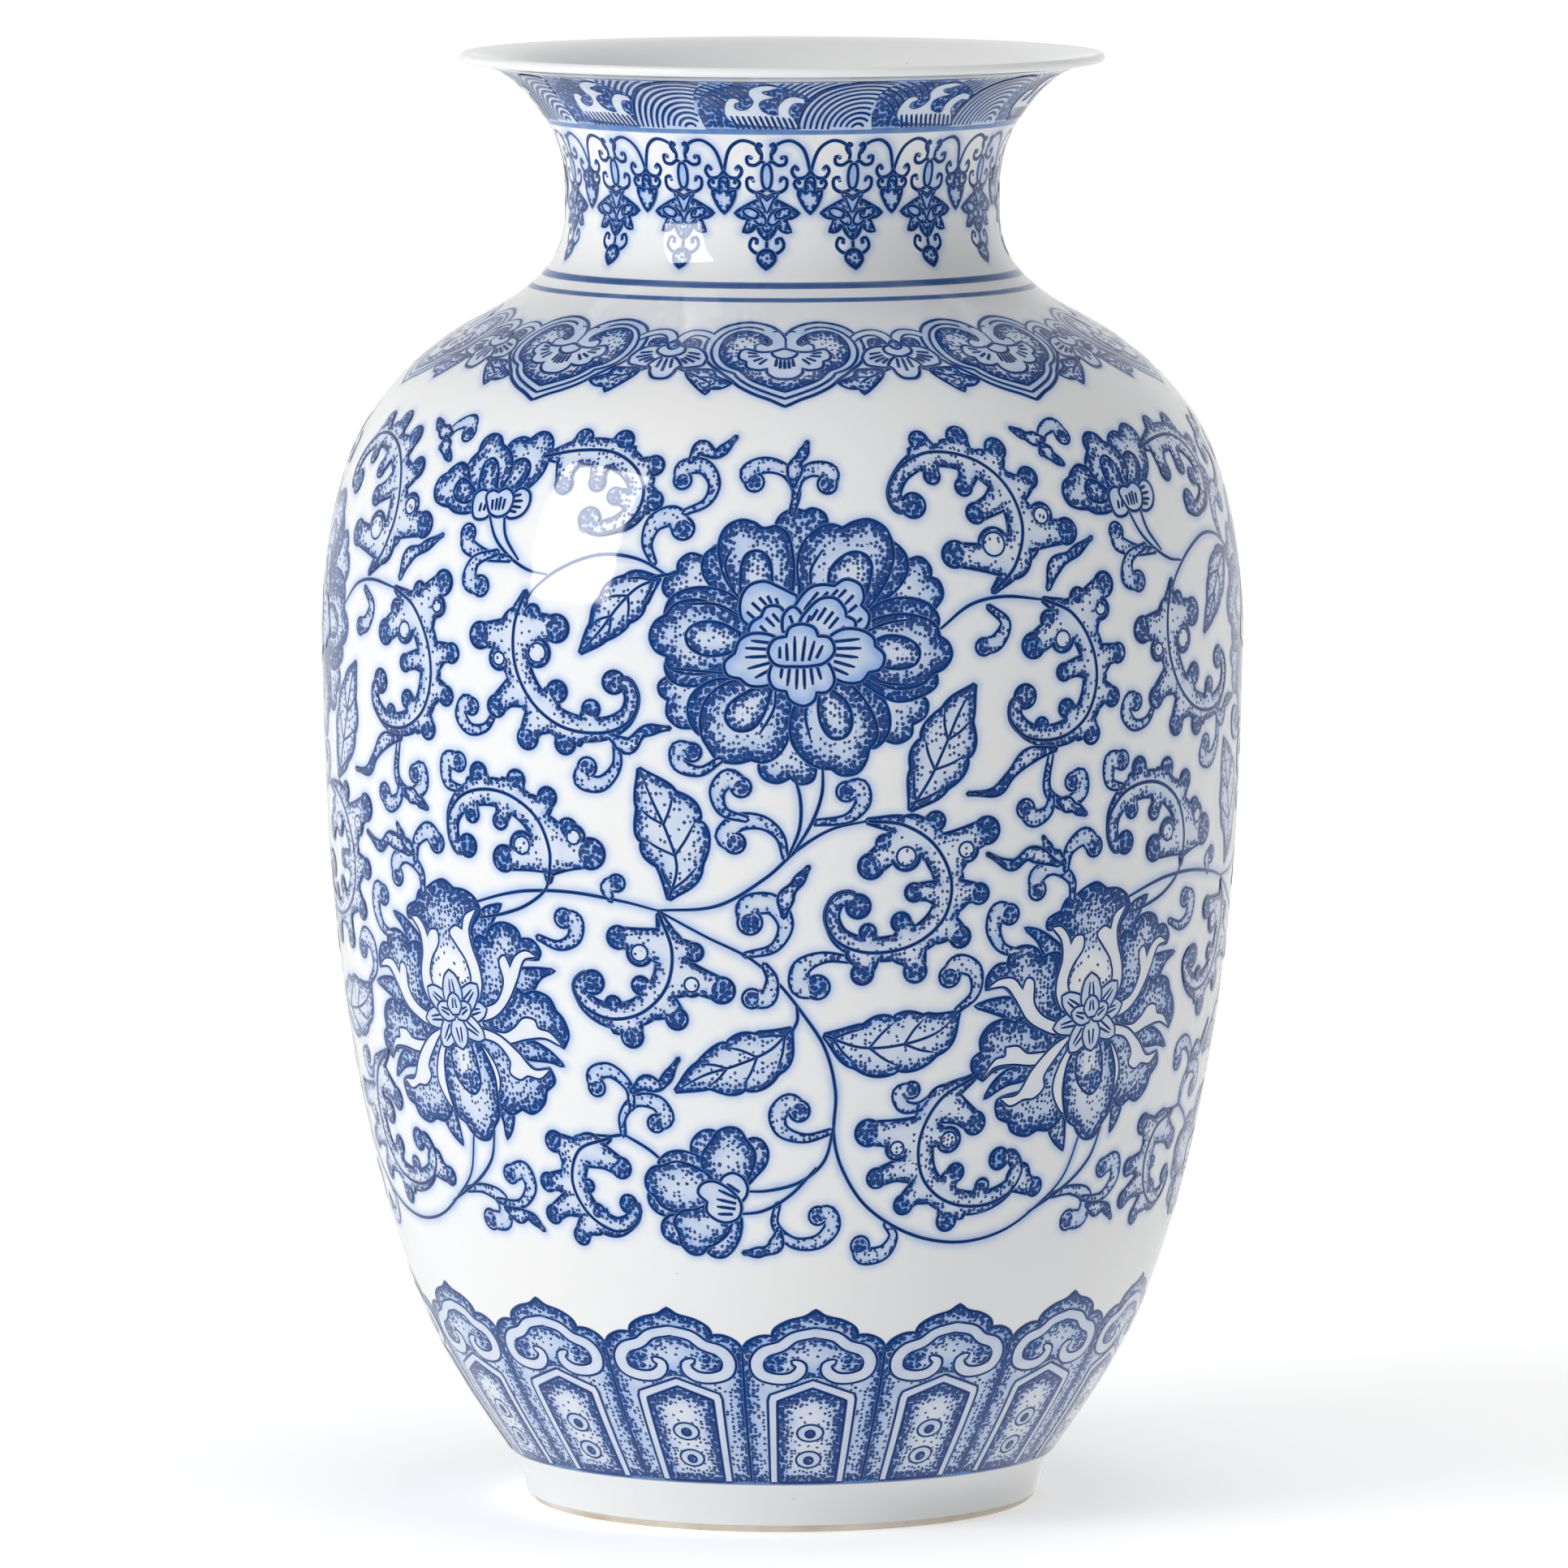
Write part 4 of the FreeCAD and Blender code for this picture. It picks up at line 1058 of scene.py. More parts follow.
# Tendrils by the place where they grow: curls with their head's radius, and pointed tips with a radius of 0
TENDRILS = {
    "over_peony": [
        ([(1.2, 190), (1.8, 194), (0.5, 197.6), (-2.2, 198.8), (-4.4, 197.4), (-3.6, 195.6)], 1.5),
        ([(1.6, 193), (2.3, 196.4), (4, 198), (6.2, 197.4), (5.8, 195.2)], 1.5),
        ([(1.4, 195), (1.8, 199), (2.8, 201), (3.5, 203.6)], 0)],
    "beside_peony": [
        ([(-16, 181), (-17, 184.4), (-16.2, 188), (-13.8, 189.3), (-12.5, 187.2)], 1.8),
        ([(-12.4, 190), (-9.6, 192), (-8.8, 195.4), (-10.4, 198.4), (-13, 198), (-13, 195.8)], 1.4),
        ([(-12.2, 199.3), (-11, 202), (-8.8, 200.8), (-6, 204.6)], 0)],
    "under_peony": [
        ([(0.4, 129.8), (-0.3, 133.6), (-2.4, 136), (-5.4, 136), (-7, 133.6), (-5.8, 132.4)], 1.6),
        ([(-4.4, 136.6), (-7.2, 138), (-7.9, 141.4), (-6.5, 143.8), (-5.0, 142.2)], 1.5),
        ([(-7.5, 147), (-10, 144.9), (-12.5, 146), (-12.6, 148.6), (-11, 148.2)], 1.4),
        ([(4, 136), (8, 136.7), (9.8, 139.4), (9.4, 142), (7.8, 141.4)], 1.5)],
    "left_of_heart": [
        ([(-4.6, 112.6), (-1, 114), (0.4, 118), (-1.2, 121.6), (-4.2, 121.2), (-4.0, 118.4)], 1.9),
        ([(0.2, 119.5), (0.5, 123), (1.8, 125.4), (3.4, 128.6)], 0),
        ([(-2.2, 110.8), (-1.3, 108.3), (-1.9, 105), (-3.8, 104.9)], 1.5),
        ([(9, 111.6), (5.2, 112.2), (2.4, 110.4), (2.3, 107.2), (4.4, 106.9)], 1.9)],
    "right_of_heart": [
        ([(22.6, 102), (25, 105), (24.8, 109), (22.6, 110.3), (21.4, 108.2)], 1.7),
        ([(33, 111.6), (28.8, 112.6), (27.2, 116), (27.8, 119.3), (29.4, 118.7)], 1.6)],
    "above_lotus": [
        ([(38.8, 120.6), (38.5, 124), (35.6, 126.5), (33.2, 125.2), (33.3, 122.6)], 1.5),
        ([(37.5, 125.8), (38, 129.4), (40.4, 131.5), (42, 129.6)], 1.6),
        ([(37.2, 127.2), (35.2, 129), (33.9, 132)], 0),
        ([(36.3, 127), (32, 129.2), (29.5, 127.4), (26, 129.6)], 0)],
    "below_scroll": [
        ([(34.8, 147), (34.3, 140.4), (36.8, 137.6), (39.6, 139.4), (39.4, 142.2), (38.2, 141.4)], 1.4),
        ([(35, 139.6), (34.5, 136.6), (32.4, 135.4), (31.2, 137.2)], 1.5),
        ([(36, 138.2), (38.2, 137), (40.7, 135.3)], 0),
        ([(35.4, 147.4), (31.5, 146.4), (29, 143.4), (27, 140.6), (23.2, 140.4)], 0)],
    "above_scroll": [
        ([(37, 199.6), (38.4, 203.8), (41, 205.1), (41.7, 202.9)], 1.5),
        ([(38.2, 202.4), (36, 202.8), (33, 205.2)], 0),
        ([(37.3, 201.6), (38.5, 199.2), (40.4, 197.2)], 0),
        ([(34.6, 175.6), (36, 179.6), (38.6, 181.2), (42.6, 184.2)], 0),
        ([(26, 172.9), (28.2, 170), (27, 166.8), (25.2, 166)], 1.3)],
    "by_small_flower": [
        ([(-36, 180.6), (-40, 181.1), (-43, 182.6), (-43.2, 184.6)], 1.5),
        ([(-38, 181.7), (-41.4, 179.8), (-42.1, 176.4), (-40.2, 175.6)], 1.6),
        ([(-37.6, 153.4), (-39, 150.9), (-41.5, 150.4), (-43, 152.6), (-42.2, 155), (-41.2, 154.4)], 1.3)],
    "by_left_scroll": [
        ([(-20.6, 150), (-20.5, 145.5), (-22.6, 142.2), (-25.1, 142.8), (-24.4, 145)], 1.5),
        ([(-21.6, 151), (-19, 149), (-17, 151.6), (-13.4, 152.4)], 0),
        ([(-42.6, 139.4), (-45.6, 140.6), (-45.6, 144.4), (-43.6, 144.4)], 1.5)],
    "by_node": [
        ([(-32, 114.4), (-29, 113.2), (-26.8, 114.7), (-26.6, 117.6), (-28.2, 118.1)], 1.5),
        ([(-21.6, 121.8), (-22.1, 124), (-20.8, 124.8)], 1.3)],
    "over_side_flower": [
        ([(-21.5, 79.6), (-21.4, 83), (-19.4, 85.9), (-16.5, 85.6), (-15.4, 83), (-16.8, 81.9)], 1.4),
        ([(-20, 84.6), (-20.3, 88.4), (-22.8, 91.2), (-25, 90.3), (-24.8, 88)], 1.4),
        ([(-19.8, 87.6), (-18, 89.3), (-16, 88.9), (-13.4, 93.8)], 0)],
    "under_side_flower": [
        ([(-0.6, 67.4), (-1, 63.6), (1.5, 60.2), (5, 60.3), (6.9, 63), (6.4, 65.4), (4.9, 65.2)], 1.5),
        ([(-0.4, 62.8), (-1, 59.6), (-3, 58.4), (-5.8, 58.2)], 0),
        ([(14.5, 63.4), (15.7, 61), (14.4, 58), (11.5, 57.5), (11, 59.4)], 1.6),
        ([(6.4, 80.8), (3, 79.6), (0, 81), (-0.6, 84), (0.9, 86), (2.2, 84.6)], 1.7),
        ([(20, 86.8), (18, 84.9), (16, 85.1), (15.4, 87.4), (17, 88)], 1.3)],
    "under_lotus": [
        ([(40.4, 66.6), (44, 67.2), (47.3, 65.6), (47.2, 61.8), (44.4, 61.5)], 1.7),
        ([(46.4, 65.3), (50.8, 65.2), (53, 68.4), (52.2, 71.6), (49.8, 70.6)], 1.5),
        ([(47.8, 64), (50, 62.9), (52, 63), (54.5, 60.3)], 0)],
}


def body_scroll():
    """The flowering scroll round the belly: stems, tendrils, acanthus scrolls, leaves and flowers."""
    stems = Sketch()
    for points in STEMS:
        stems.stroke(points, width=LINE * 1.15, ends=(0.7, 0.6))
    sketches = [stems.build("stems", QUARTERS)]
    for place, parts in TENDRILS.items():
        s = Sketch()
        for points, head in parts:
            if head:
                curl(s, points, head)
            else:
                tip(s, points)
        sketches.append(s.build("tendrils_" + place, QUARTERS))
    for place, (spine, head, outer, inner, rings) in SCROLLS.items():
        s = Sketch()
        scroll(s, spine, head, outer, inner, rings)
        sketches.append(s.build("scroll_" + place, QUARTERS))
    for place, (rib, left, right) in LEAVES.items():
        s = Sketch()
        leaf(s, rib, left, right)
        sketches.append(s.build("leaf_" + place, QUARTERS))
    return sketches + [peony(), small_flower(), side_flower(), lotus()]


HEARTS = 9
HEART_AT = 0.4           # degrees from the front
SHOULDER_AT = 211.0      # millimetres along the wall
SHOULDER_DEGREE = 1.10   # millimetres to a degree there
RIB_WIDTH = LINE * 1.15


def shoulder_heart():
    """The ruyi head on the shoulder: a double-edged heart with two volutes and a ribbed fan."""
    s = Sketch((HEART_AT, SHOULDER_AT), SHOULDER_DEGREE)
    bold = LINE * 1.5
    even(s, [(0, 17.4), (0.5, 19), (2.8, 21.3), (7, 22.4), (11.4, 21), (13.5, 18), (13.8, 14.5),
             (12.6, 11), (10.2, 8.3), (8.3, 6.4), (6.9, 4.7), (4.4, 2.8), (2.2, 1.6), (0, 0.1)],
         (0, 9, 13), line=bold, wash=(0.5, 0.6), dots=PLAIN)
    even(s, [(0, 16.6), (2.0, 17.8), (3.2, 19.5), (5.6, 20.8), (8.2, 20.8), (10.7, 19.4), (12.2, 16.8),
             (12.5, 14), (11.7, 11.2), (10.2, 9.2), (7.9, 7.9), (7.2, 6.7), (5.2, 4.8), (2.6, 3.2),
             (0, 1.8)], (0, 10, 14), line=bold * 0.85, wash=(0.5, 0.6), dots=PLAIN)
    even(s, [(0, 14.4), (3.4, 17.2), (4.0, 18.6), (5.6, 19.5), (7.8, 19.8), (9.8, 18.8), (10.9, 16.8),
             (11.1, 14), (10.6, 11.8), (9.2, 9.8), (7.2, 8.6), (6.5, 7.8), (5.2, 6.2), (2.6, 4.6),
             (0, 3.3)], (0, 10, 14), line=LINE, wash=(0.3, 0.95), dots=(0.25, 1.05), reach=1.9)
    volute = [(0.0, 17.6), (1.1, 19.6), (2.4, 19.4), (3.0, 18.4), (2.2, 17.2), (2.2, 15.9), (3.0, 15.3),
              (4.2, 15.9), (5.0, 15.2), (4.6, 13.9), (3.2, 13.2), (1.4, 13.2), (0.0, 14.0)]
    for side in (1, -1):
        drawn(s, mirrored(volute, side), (0, 12), wash=(0.45, 0.5), dots=PLAIN)
    for side in (-1, 1):
        washed(s, mirrored([(1.9, 18.9), (2.7, 20.6), (3.9, 20.9), (3.4, 18.9), (2.6, 18.0)], side),
               wash=(0.5, 0.55), dots=PLAIN)
    even(s, [(0, 14.4), (2.2, 13.4), (4.4, 13.3), (6.8, 14.1), (7.5, 13.2), (7.4, 11.8), (6.2, 11),
             (5.9, 9.4), (4.2, 8.8), (2.7, 9.2), (2.5, 7.8), (1.4, 6.7), (0, 6.5)], (0, 6, 9),
         **SHOULDER_PETAL)
    even(s, [(0, 14.2), (1.2, 13.7), (2.0, 13.3), (1.4, 12.4), (0, 11.9)], (2,), **SHOULDER_PETAL)
    for x, y, inner_x, inner_y in ((6.4, 13.4, 4.6, 13.0), (6.2, 12.2, 4.2, 12.4), (5.2, 10.9, 3.6, 11.9),
                                   (4.2, 10.0, 2.9, 11.6), (1.5, 9.4, 1.3, 11.6), (0.75, 8.9, 0.65, 11.4)):
        ribs(s, [(x, y, inner_x, inner_y), (-x, y, -inner_x, inner_y)], RIB_WIDTH)
    ribs(s, [(0, 8.8, 0, 11.3)], RIB_WIDTH)
    return s.build("shoulder_heart", HEARTS)


def shoulder_flower():
    """The small flower between two hearts, with three ribbed petals, curling sepals and dark leaves."""
    s = Sketch((HEART_AT + 180 / HEARTS, SHOULDER_AT), SHOULDER_DEGREE)
    for side in (1, -1):
        s.stroke(mirrored([(1.8, 9.4), (3.2, 8.4), (4.8, 7.6)], side))
        drawn(s, mirrored([(4.2, 8.3), (6.1, 8.5), (8.3, 8.3), (9, 6.8), (11.7, 5.3), (10.2, 4.1),
                           (8.5, 3.9), (8, 2.6), (7, 3.7), (5.6, 5.4), (4.4, 7.2)], side), (4, 6, 7),
              wash=(0.45, 0.95), dots=(0.35, 1.0), reach=0.9)
        s.stroke(mirrored([(4.8, 7.6), (7.0, 6.2), (8.4, 5.0)], side), ends=(1.0, 0.4))
        s.stroke(mirrored([(6.4, 6.6), (8.0, 6.6), (9.6, 5.8)], side), width=LINE * 0.8, ends=(1.0, 0.4))
        drawn(s, mirrored([(7.6, 17.9), (6.4, 19), (4.6, 19.8), (2.6, 19.9), (1.0, 19), (0.3, 17.8),
                           (0.1, 16.2), (1.2, 16.0), (1.7, 17.4), (2.8, 18.6), (4.6, 18.7), (6.6, 17.6),
                           (7.2, 16.9)], side), (0, 6, 7), wash=(0.35, 0.45), dots=PLAIN)
        drawn(s, mirrored([(1.6, 15.2), (2.0, 16.8), (3.2, 17.2), (4.4, 16.8), (4.6, 15.4), (3.4, 14.2),
                           (2.2, 14.2)], side), (), **DENSE)
        drawn(s, mirrored([(1.2, 13.8), (2.6, 14.6), (4.4, 14.4), (5.8, 13.3), (6.6, 11.6), (6.2, 10.0),
                           (4.8, 9.5), (3.2, 9.3), (1.6, 10.6)], side), (4, 6), **SHOULDER_PETAL)
    even(s, [(0, 12), (1.6, 11), (2.6, 9.5), (2.0, 8.8), (1.7, 7.6), (1.0, 6.5), (0, 6.3)], (2,),
         **SHOULDER_PETAL)
    even(s, [(0, 14), (0.8, 14.8), (2.0, 14.6), (2.2, 13.4), (1.2, 12.6), (0, 12.2)], (0,),
         **SHOULDER_PETAL)
    even(s, [(0, 16.8), (0.9, 15.6), (0.7, 14.6), (0, 14.2)], (0,), wash=(0.6, 0.9), dots=(0.5, 0.8))
    for side in (1, -1):
        ribs(s, [(side * 5.4, 12.7, side * 3.2, 13.2), (side * 5.7, 11.4, side * 3.0, 12.4),
                 (side * 4.9, 10.5, side * 2.8, 11.8), (side * 3.7, 10.1, side * 2.4, 11.4),
                 (side * 1.2, 8.8, side * 0.9, 11.4)], RIB_WIDTH)
    ribs(s, [(0, 7.9, 0, 11.4)], RIB_WIDTH)
    return s.build("shoulder_flower", HEARTS)


PANELS = 16
PANEL_AT = 5.0      # degrees from the front
PANEL_LOW = 9.2     # where a panel starts, in millimetres along the wall
PANEL_DEGREE = 1.02


def foot_panel():
    """A lappet above the foot: a scalloped head with a cloud scroll, over a pointed arch with two eyes."""
    s = Sketch((PANEL_AT, 0.0), PANEL_DEGREE)
    low = PANEL_LOW
    edge = 180 / PANELS
    even(s, [(0, 46.9), (1.4, 45.7), (4.0, 44.8), (5.9, 43.4), (6.5, 41.8), (8.4, 41.7), (10.2, 40.6),
             (edge, 38.8), (edge, 25), (edge, low), (0, low)], (0, 4, 7, 8, 9, 10), wash=(0.5, 1.0),
         dots=(0.30, 1.0), reach=1.5, grid=0.7)
    even(s, [(0, 41.2), (4, 40.2), (7.6, 38.4), (8.8, 36), (7, 33.4), (3.4, 32.6), (0, 33.4)], (), line=0.1,
         wash=(0.45, 0.9), dots=(0.26, 0.9), reach=1.6)
    s.stroke([(edge, low), (edge, 25), (edge, 38.6)], width=LINE * 1.1, ends=(1, 0.6))
    cloud = ((0, 42.6, 0.8), (3.2, 41.7, 0.8), (5.2, 39.9, 0.85), (7.8, 38.7, 0.95), (9.0, 36.6, 0.95),
             (8.5, 34.2, 0.95), (6.3, 33.1, 0.9), (3.8, 33.2, 0.9), (2.3, 34.4, 0.85), (2.1, 35.9, 0.65),
             (3.1, 36.6, 0.35))
    s.shapes([band(s.plan(mirrored(cloud, side))) for side in (1, -1)], **CLOUD)
    for side in (1, -1):
        drop = mirrored([(5.0, 37.0, 0.9), (6.6, 36.8, 1.1), (6.8, 35.6, 0.9), (5.2, 35.2, 0.6)], side)
        s.fill(band(s.plan(drop)), wash=(0.8, 1.0), dots=(0.6, 0.9), reach=0.7)
    even(s, [(0, 32.6), (6.9, 29.5), (7.2, 28.4), (7.2, low), (0, low)], (0, 1, 2, 3, 4), **CLOUD)
    even(s, [(0, 30.8), (5.6, 28.1), (5.6, low), (0, low)], (0, 1, 2, 3), wash=(0.18, 0.95),
         dots=(0.14, 1.05), reach=2.3, grid=0.6)
    for height in (20.9, 14.6):
        s.shapes([ellipse(0, height, 2.2, 1.75)], line=LINE * 0.9, wash=(0.3, 0.5), dots=PLAIN)
        s.shapes([ellipse(0, height - 0.2, 0.62)], wash=(1, 1), dots=(1, 1))
    s.build("foot_panel", PANELS)


PENDANTS = 16
PENDANT_AT = (-4.0, 247.0)   # degrees, and millimetres along the wall
PENDANT_DEGREE = 0.70


def neck_pendant():
    """One length of the neck's garland: an arch on each side, a long tassel and half of a short one."""
    s = Sketch(PENDANT_AT, PENDANT_DEGREE, twin=True)
    thin = LINE * 1.25
    far = 180 / PENDANTS
    for points in (
        [(1.4, 18.6), (1.3, 20.4), (3, 22.2), (6.2, 22.8), (9.2, 21.2), (10.9, 17.6), (far, 15)],
        [(1.5, 20.2), (2.4, 21.4), (1.8, 22.3), (1.0, 21.8)],
        [(-0.1, 17.9), (1.2, 18.8), (3, 18.1), (4.8, 18.4), (4.9, 19.7), (3.8, 19.7)],
        [(-0.1, 13.9), (2.6, 13.2), (4.9, 14), (5.1, 15.6), (3.8, 15.9), (3.4, 15.0)],
        [(-0.1, 3.1), (1.2, 2.5), (3, 2.7), (4.4, 3.8), (3.7, 5.2), (2.4, 4.9), (2.6, 4.1)],
        [(far, 17), (far - 1.3, 16), (far - 3.6, 15.8), (far - 4.8, 17), (far - 4.0, 18),
         (far - 3.2, 17.4)],
        [(far, 14.8), (far - 1.2, 14.0), (far - 3.2, 13.8), (far - 4.2, 14.8), (far - 3.4, 15.6),
         (far - 2.7, 15)],
    ):
        s.stroke(points, width=thin, ends=(1, 0.8))
    for x, y in ((3.9, 19.5), (3.7, 15.6), (2.7, 4.5), (far - 3.4, 17.4), (far - 2.9, 15.0), (1.3, 21.8)):
        s.fill(ellipse(x * PENDANT_DEGREE, y, 0.42), wash=(1, 1), dots=(0.95, 1))
    s.twin = False
    s.stroke([(0.0, 5.4), (0.0, 2.6)], width=thin)
    mid = {"wash": (0.75, 1.0), "dots": (0.45, 0.9), "reach": 0.5}
    s.shapes([ellipse(0, 16.1, 0.62, 2.0)], line=thin, wash=(0.35, 0.8), dots=PLAIN)
    leaves = [(0, 5.0), (1.8, 6.4), (2.4, 7.9), (4.2, 6.6), (6.0, 6.4), (4.8, 8.2), (4.9, 8.9), (6.3, 8.9),
              (8.2, 9.6), (5.2, 10.8), (2.2, 11.7), (0, 11.4)]
    for side in (1, -1):
        drawn(s, mirrored(leaves, side), (0, 2, 4, 6, 8, 11), **mid)
    for x, y, wide, high, tilt in ((0, 8.2, 0.75, 1.7, 0), (-1.5, 8.9, 0.7, 1.5, 40),
                                   (1.5, 8.9, 0.7, 1.5, -40), (-2.9, 9.6, 0.55, 1.3, 70),
                                   (2.9, 9.6, 0.55, 1.3, -70)):
        s.shapes([ellipse(x, y, wide, high, tilt)], line=thin * 0.8, wash=(0.35, 0.9), dots=(0.1, 0.5),
                 reach=0.5)
    for high, wide in ((13.1, 2.7), (12.5, 1.7)):
        drawn(s, [(-wide, high), (0, high - 2.6), (wide, high), (0, high - 0.9)], (0, 1, 2, 3),
              line=thin * 0.8, wash=(0.35, 0.8), dots=PLAIN)
    drawn(s, [(0, -0.1), (1.8, 1.4), (1.5, 2.4), (0, 2.9), (-1.5, 2.4), (-1.8, 1.4)], (0,), line=thin,
          **mid)
    drawn(s, [(far, 9.8), (far + 1.7, 11.4), (far + 2.8, 13.4), (far + 1, 13.0), (far + 0.6, 15.6),
              (far - 0.6, 15.6), (far - 1, 13.0), (far - 2.8, 13.4), (far - 1.7, 11.4)], (0, 2, 6),
          line=thin, wash=(0.5, 0.95), dots=(0.3, 0.8), reach=0.4)
    return s.build("neck_pendant", PENDANTS)


WAVES = 9
HILL_AT, FOAM_AT = 18.0, 33.5           # degrees from the front
WAVE_BOTTOM, WAVE_TOP = 272.0, 284.9    # millimetres along the wall
WAVE_DEGREE = 0.87
SEA_LAYERS = 12                         # layers of the sea that may lie below the hill
SEA_GRID = 0.6


def arcs(sketch, x, y, radii, first, last, kept):
    """Arcs round one centre, as far as they stay in the kept part of the plan."""
    for radius in radii:
        turn = np.radians(np.linspace(first, last, max(8, int(radius * abs(last - first) / 30))))
        path = np.c_[x + radius * np.cos(turn), y + radius * np.sin(turn)]
        path = path[kept(path[:, 0], path[:, 1])]
        if len(path) > 2:
            sketch.line(path, LINE * 1.2, (0.8, 0.8))


def sea():
    """The dark water of the wave band, with a breaking crest of foam and far swells behind it."""
    s = Sketch((FOAM_AT, WAVE_BOTTOM), WAVE_DEGREE)
    half, top = 180 / WAVES * s.degree, WAVE_TOP - WAVE_BOTTOM
    s.fill(smooth([(-half, 0), (half, 0), (half, top), (-half, top)], closed=True, corners=(0, 1, 2, 3),
                  step=0.6), wash=(1.0, 1.0), dots=(0.84, 0.84), grid=SEA_GRID)
    swell = [(2.6, top), (5.8, 10.9), (9.4, 8.6), (11.8, 6.0), (13.0, 3.4), (half, 3.4), (half, top)]
    s.fill(smooth(swell, closed=True, corners=(0, 4, 5, 6)), wash=(0.55, 0.55), dots=PLAIN, grid=SEA_GRID)
    arcs(s, 21.5, 0.0, np.arange(9.5, 21.0, 1.15), 175, 90,
         lambda x, y: (y < top - 0.2) & (x < half) & (y > 3.4) & (y > top - 1.0 - (x - 3.0) * 0.75))
    far = [(-half, 5.0), (-half, top), (-2.6, top), (-4.6, 11.0), (-7.8, 9.6), (-10.6, 6.5), (-11.0, 4.0)]
    s.fill(smooth(far, closed=True, corners=(0, 1, 2, 6)), wash=(0.8, 0.8), dots=(0.35, 0.35),
           grid=SEA_GRID)
    arcs(s, -13.5, 0.0, np.arange(8.0, 17.0, 1.2), 110, 15,
         lambda x, y: (y < top - 0.2) & (x > -half) & (y > 3.6) & (y > (x + 9.0) * 0.9))
    foam = [(-5.6, 3.4), (-5.3, 5.6), (-4.3, 7.2), (-3.1, 7.4), (-2.4, 6.6), (-3.4, 6.2), (-3.6, 5.0),
            (-2.4, 4.4), (-0.8, 4.9), (0.3, 6.6), (-0.4, 8.4), (-0.1, 10.0), (1.2, 11.0), (3.2, 11.4),
            (4.9, 10.8), (3.4, 10.0), (1.9, 9.4), (2.4, 8.6), (4.2, 7.8), (2.2, 7.2), (1.2, 6.2),
            (1.5, 4.6), (2.8, 3.6), (4.8, 3.4), (4.9, 5.2), (6.0, 7.0), (7.6, 7.9), (9.6, 7.4),
            (9.8, 6.3), (8.2, 6.4), (7.1, 5.3), (7.0, 3.6), (9.6, 1.4), (8.6, 0.6), (4.0, 0.9),
            (-1.0, 1.2), (-4.4, 1.8)]
    s.shapes([smooth(foam, closed=True, corners=(4, 14, 18, 27, 32))], line=LINE * 0.4, wash=(0.22, 0.35),
             dots=PLAIN, reach=0.4)
    for x in np.arange(-4.6, 9.0, 1.15):
        s.line(smooth([(x, 3.2 - max(x - 4, 0) * 0.15), (x + 0.5, 1.9), (x + 1.2, 0.3)]), LINE * 1.1,
               (0.6, 1))
    s.build("wave_sea", WAVES)


def hill():
    """The near swell of the wave band: ribs of water round one centre, cut off where the foam breaks."""
    s = Sketch((HILL_AT, WAVE_BOTTOM), WAVE_DEGREE, under=SEA_LAYERS)
    top = WAVE_TOP - WAVE_BOTTOM
    outline = [(-12.4, 0.05), (-11.8, 4.4), (-9.4, 8.3), (-5.8, 11.2), (-1.8, 12.6), (1.6, 12.7),
               (5.2, 11.9), (3.0, 9.4), (2.2, 6.0), (2.4, 3.0), (3.2, 0.05)]
    s.fill(smooth(outline, closed=True, corners=(0, 6, 10)), wash=(0.5, 0.5), dots=PLAIN, grid=SEA_GRID)
    arcs(s, 0.0, 0.0, np.arange(1.4, 13.0, 1.22), 178, 30,
         lambda x, y: (y > 0.2) & (y < top - 0.2) & (x < 2.2 + np.maximum(y - 6.5, 0) * 0.5))
    s.build("wave_hill", WAVES)


# The painted rings: their name, place along the wall, width and tone
RINGS = [
    ("foot_ring_line", 9.0, 1.5, 0.48),
    ("neck_line_low", 239.9, 1.25, 0.74),
    ("neck_line_high", 243.3, 1.6, 0.80),
    ("wave_line_low", 271.7, 1.5, 0.45),
    ("wave_line_high", 284.9, 0.9, 0.9),
]


def ring(name, along, width, tone):
    """A painted ring right round the vase, with soft edges."""
    s = Sketch((0.0, along), 1.0)
    turn = np.linspace(-180.0, 180.0, 361)
    rows = np.array([-0.5, -0.36, 0.0, 0.36, 0.5]) * width
    places = np.array([(x, y) for y in rows for x in turn])
    amount = np.repeat([0.05, 0.85, 1.0, 0.85, 0.05], len(turn))
    paint = np.c_[np.minimum(amount * 1.2, 1), np.zeros(len(places)), amount * tone]
    triangles = []
    for row in range(len(rows) - 1):
        for i in range(len(turn) - 1):
            a, b = row * len(turn) + i, (row + 1) * len(turn) + i
            triangles += [(a, a + 1, b), (b, a + 1, b + 1)]
    s.keep(places, np.array(triangles), paint)
    s.build(name)


def porcelain():
    """The turned glaze, and the CAD clay and recess glaze with their finishes."""
    skin = lathe("glazed_skin", coat_outline())
    skin.data.materials.append(MATERIALS["white"])
    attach(skin, "root")
    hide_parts("main_glaze")
    for name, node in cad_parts.items():
        material = MATERIALS["white" if name == "recess_glaze" else "biscuit"]
        for slot in node.material_slots:
            slot.material = material


porcelain()
bleed("body_bleed", body_scroll(), QUARTERS)
bleed("shoulder_bleed", [shoulder_heart(), shoulder_flower()], HEARTS)
foot_panel()
bleed("neck_bleed", [neck_pendant()], PENDANTS)
sea()
hill()
for name, along, width, tone in RINGS:
    ring(name, along, width, tone)

# ---- Studio ----

CAMERA_AT = (0.0003, -2.4385, 0.3826)
CAMERA_DOWN = math.radians(5.947)
CAMERA_LENS = 313.7
CAMERA_SENSOR = 36.0
CAMERA_SEES = (0.1, 50.0)   # nearest and farthest, in metres
LIGHTS_AIM = (0.0, 0.0, 0.15)
KEY_POWER = 18.4
TOP_POWER = 7.2
FRONT_POWER = 1.2
SOFTBOX_POWER = 14.94
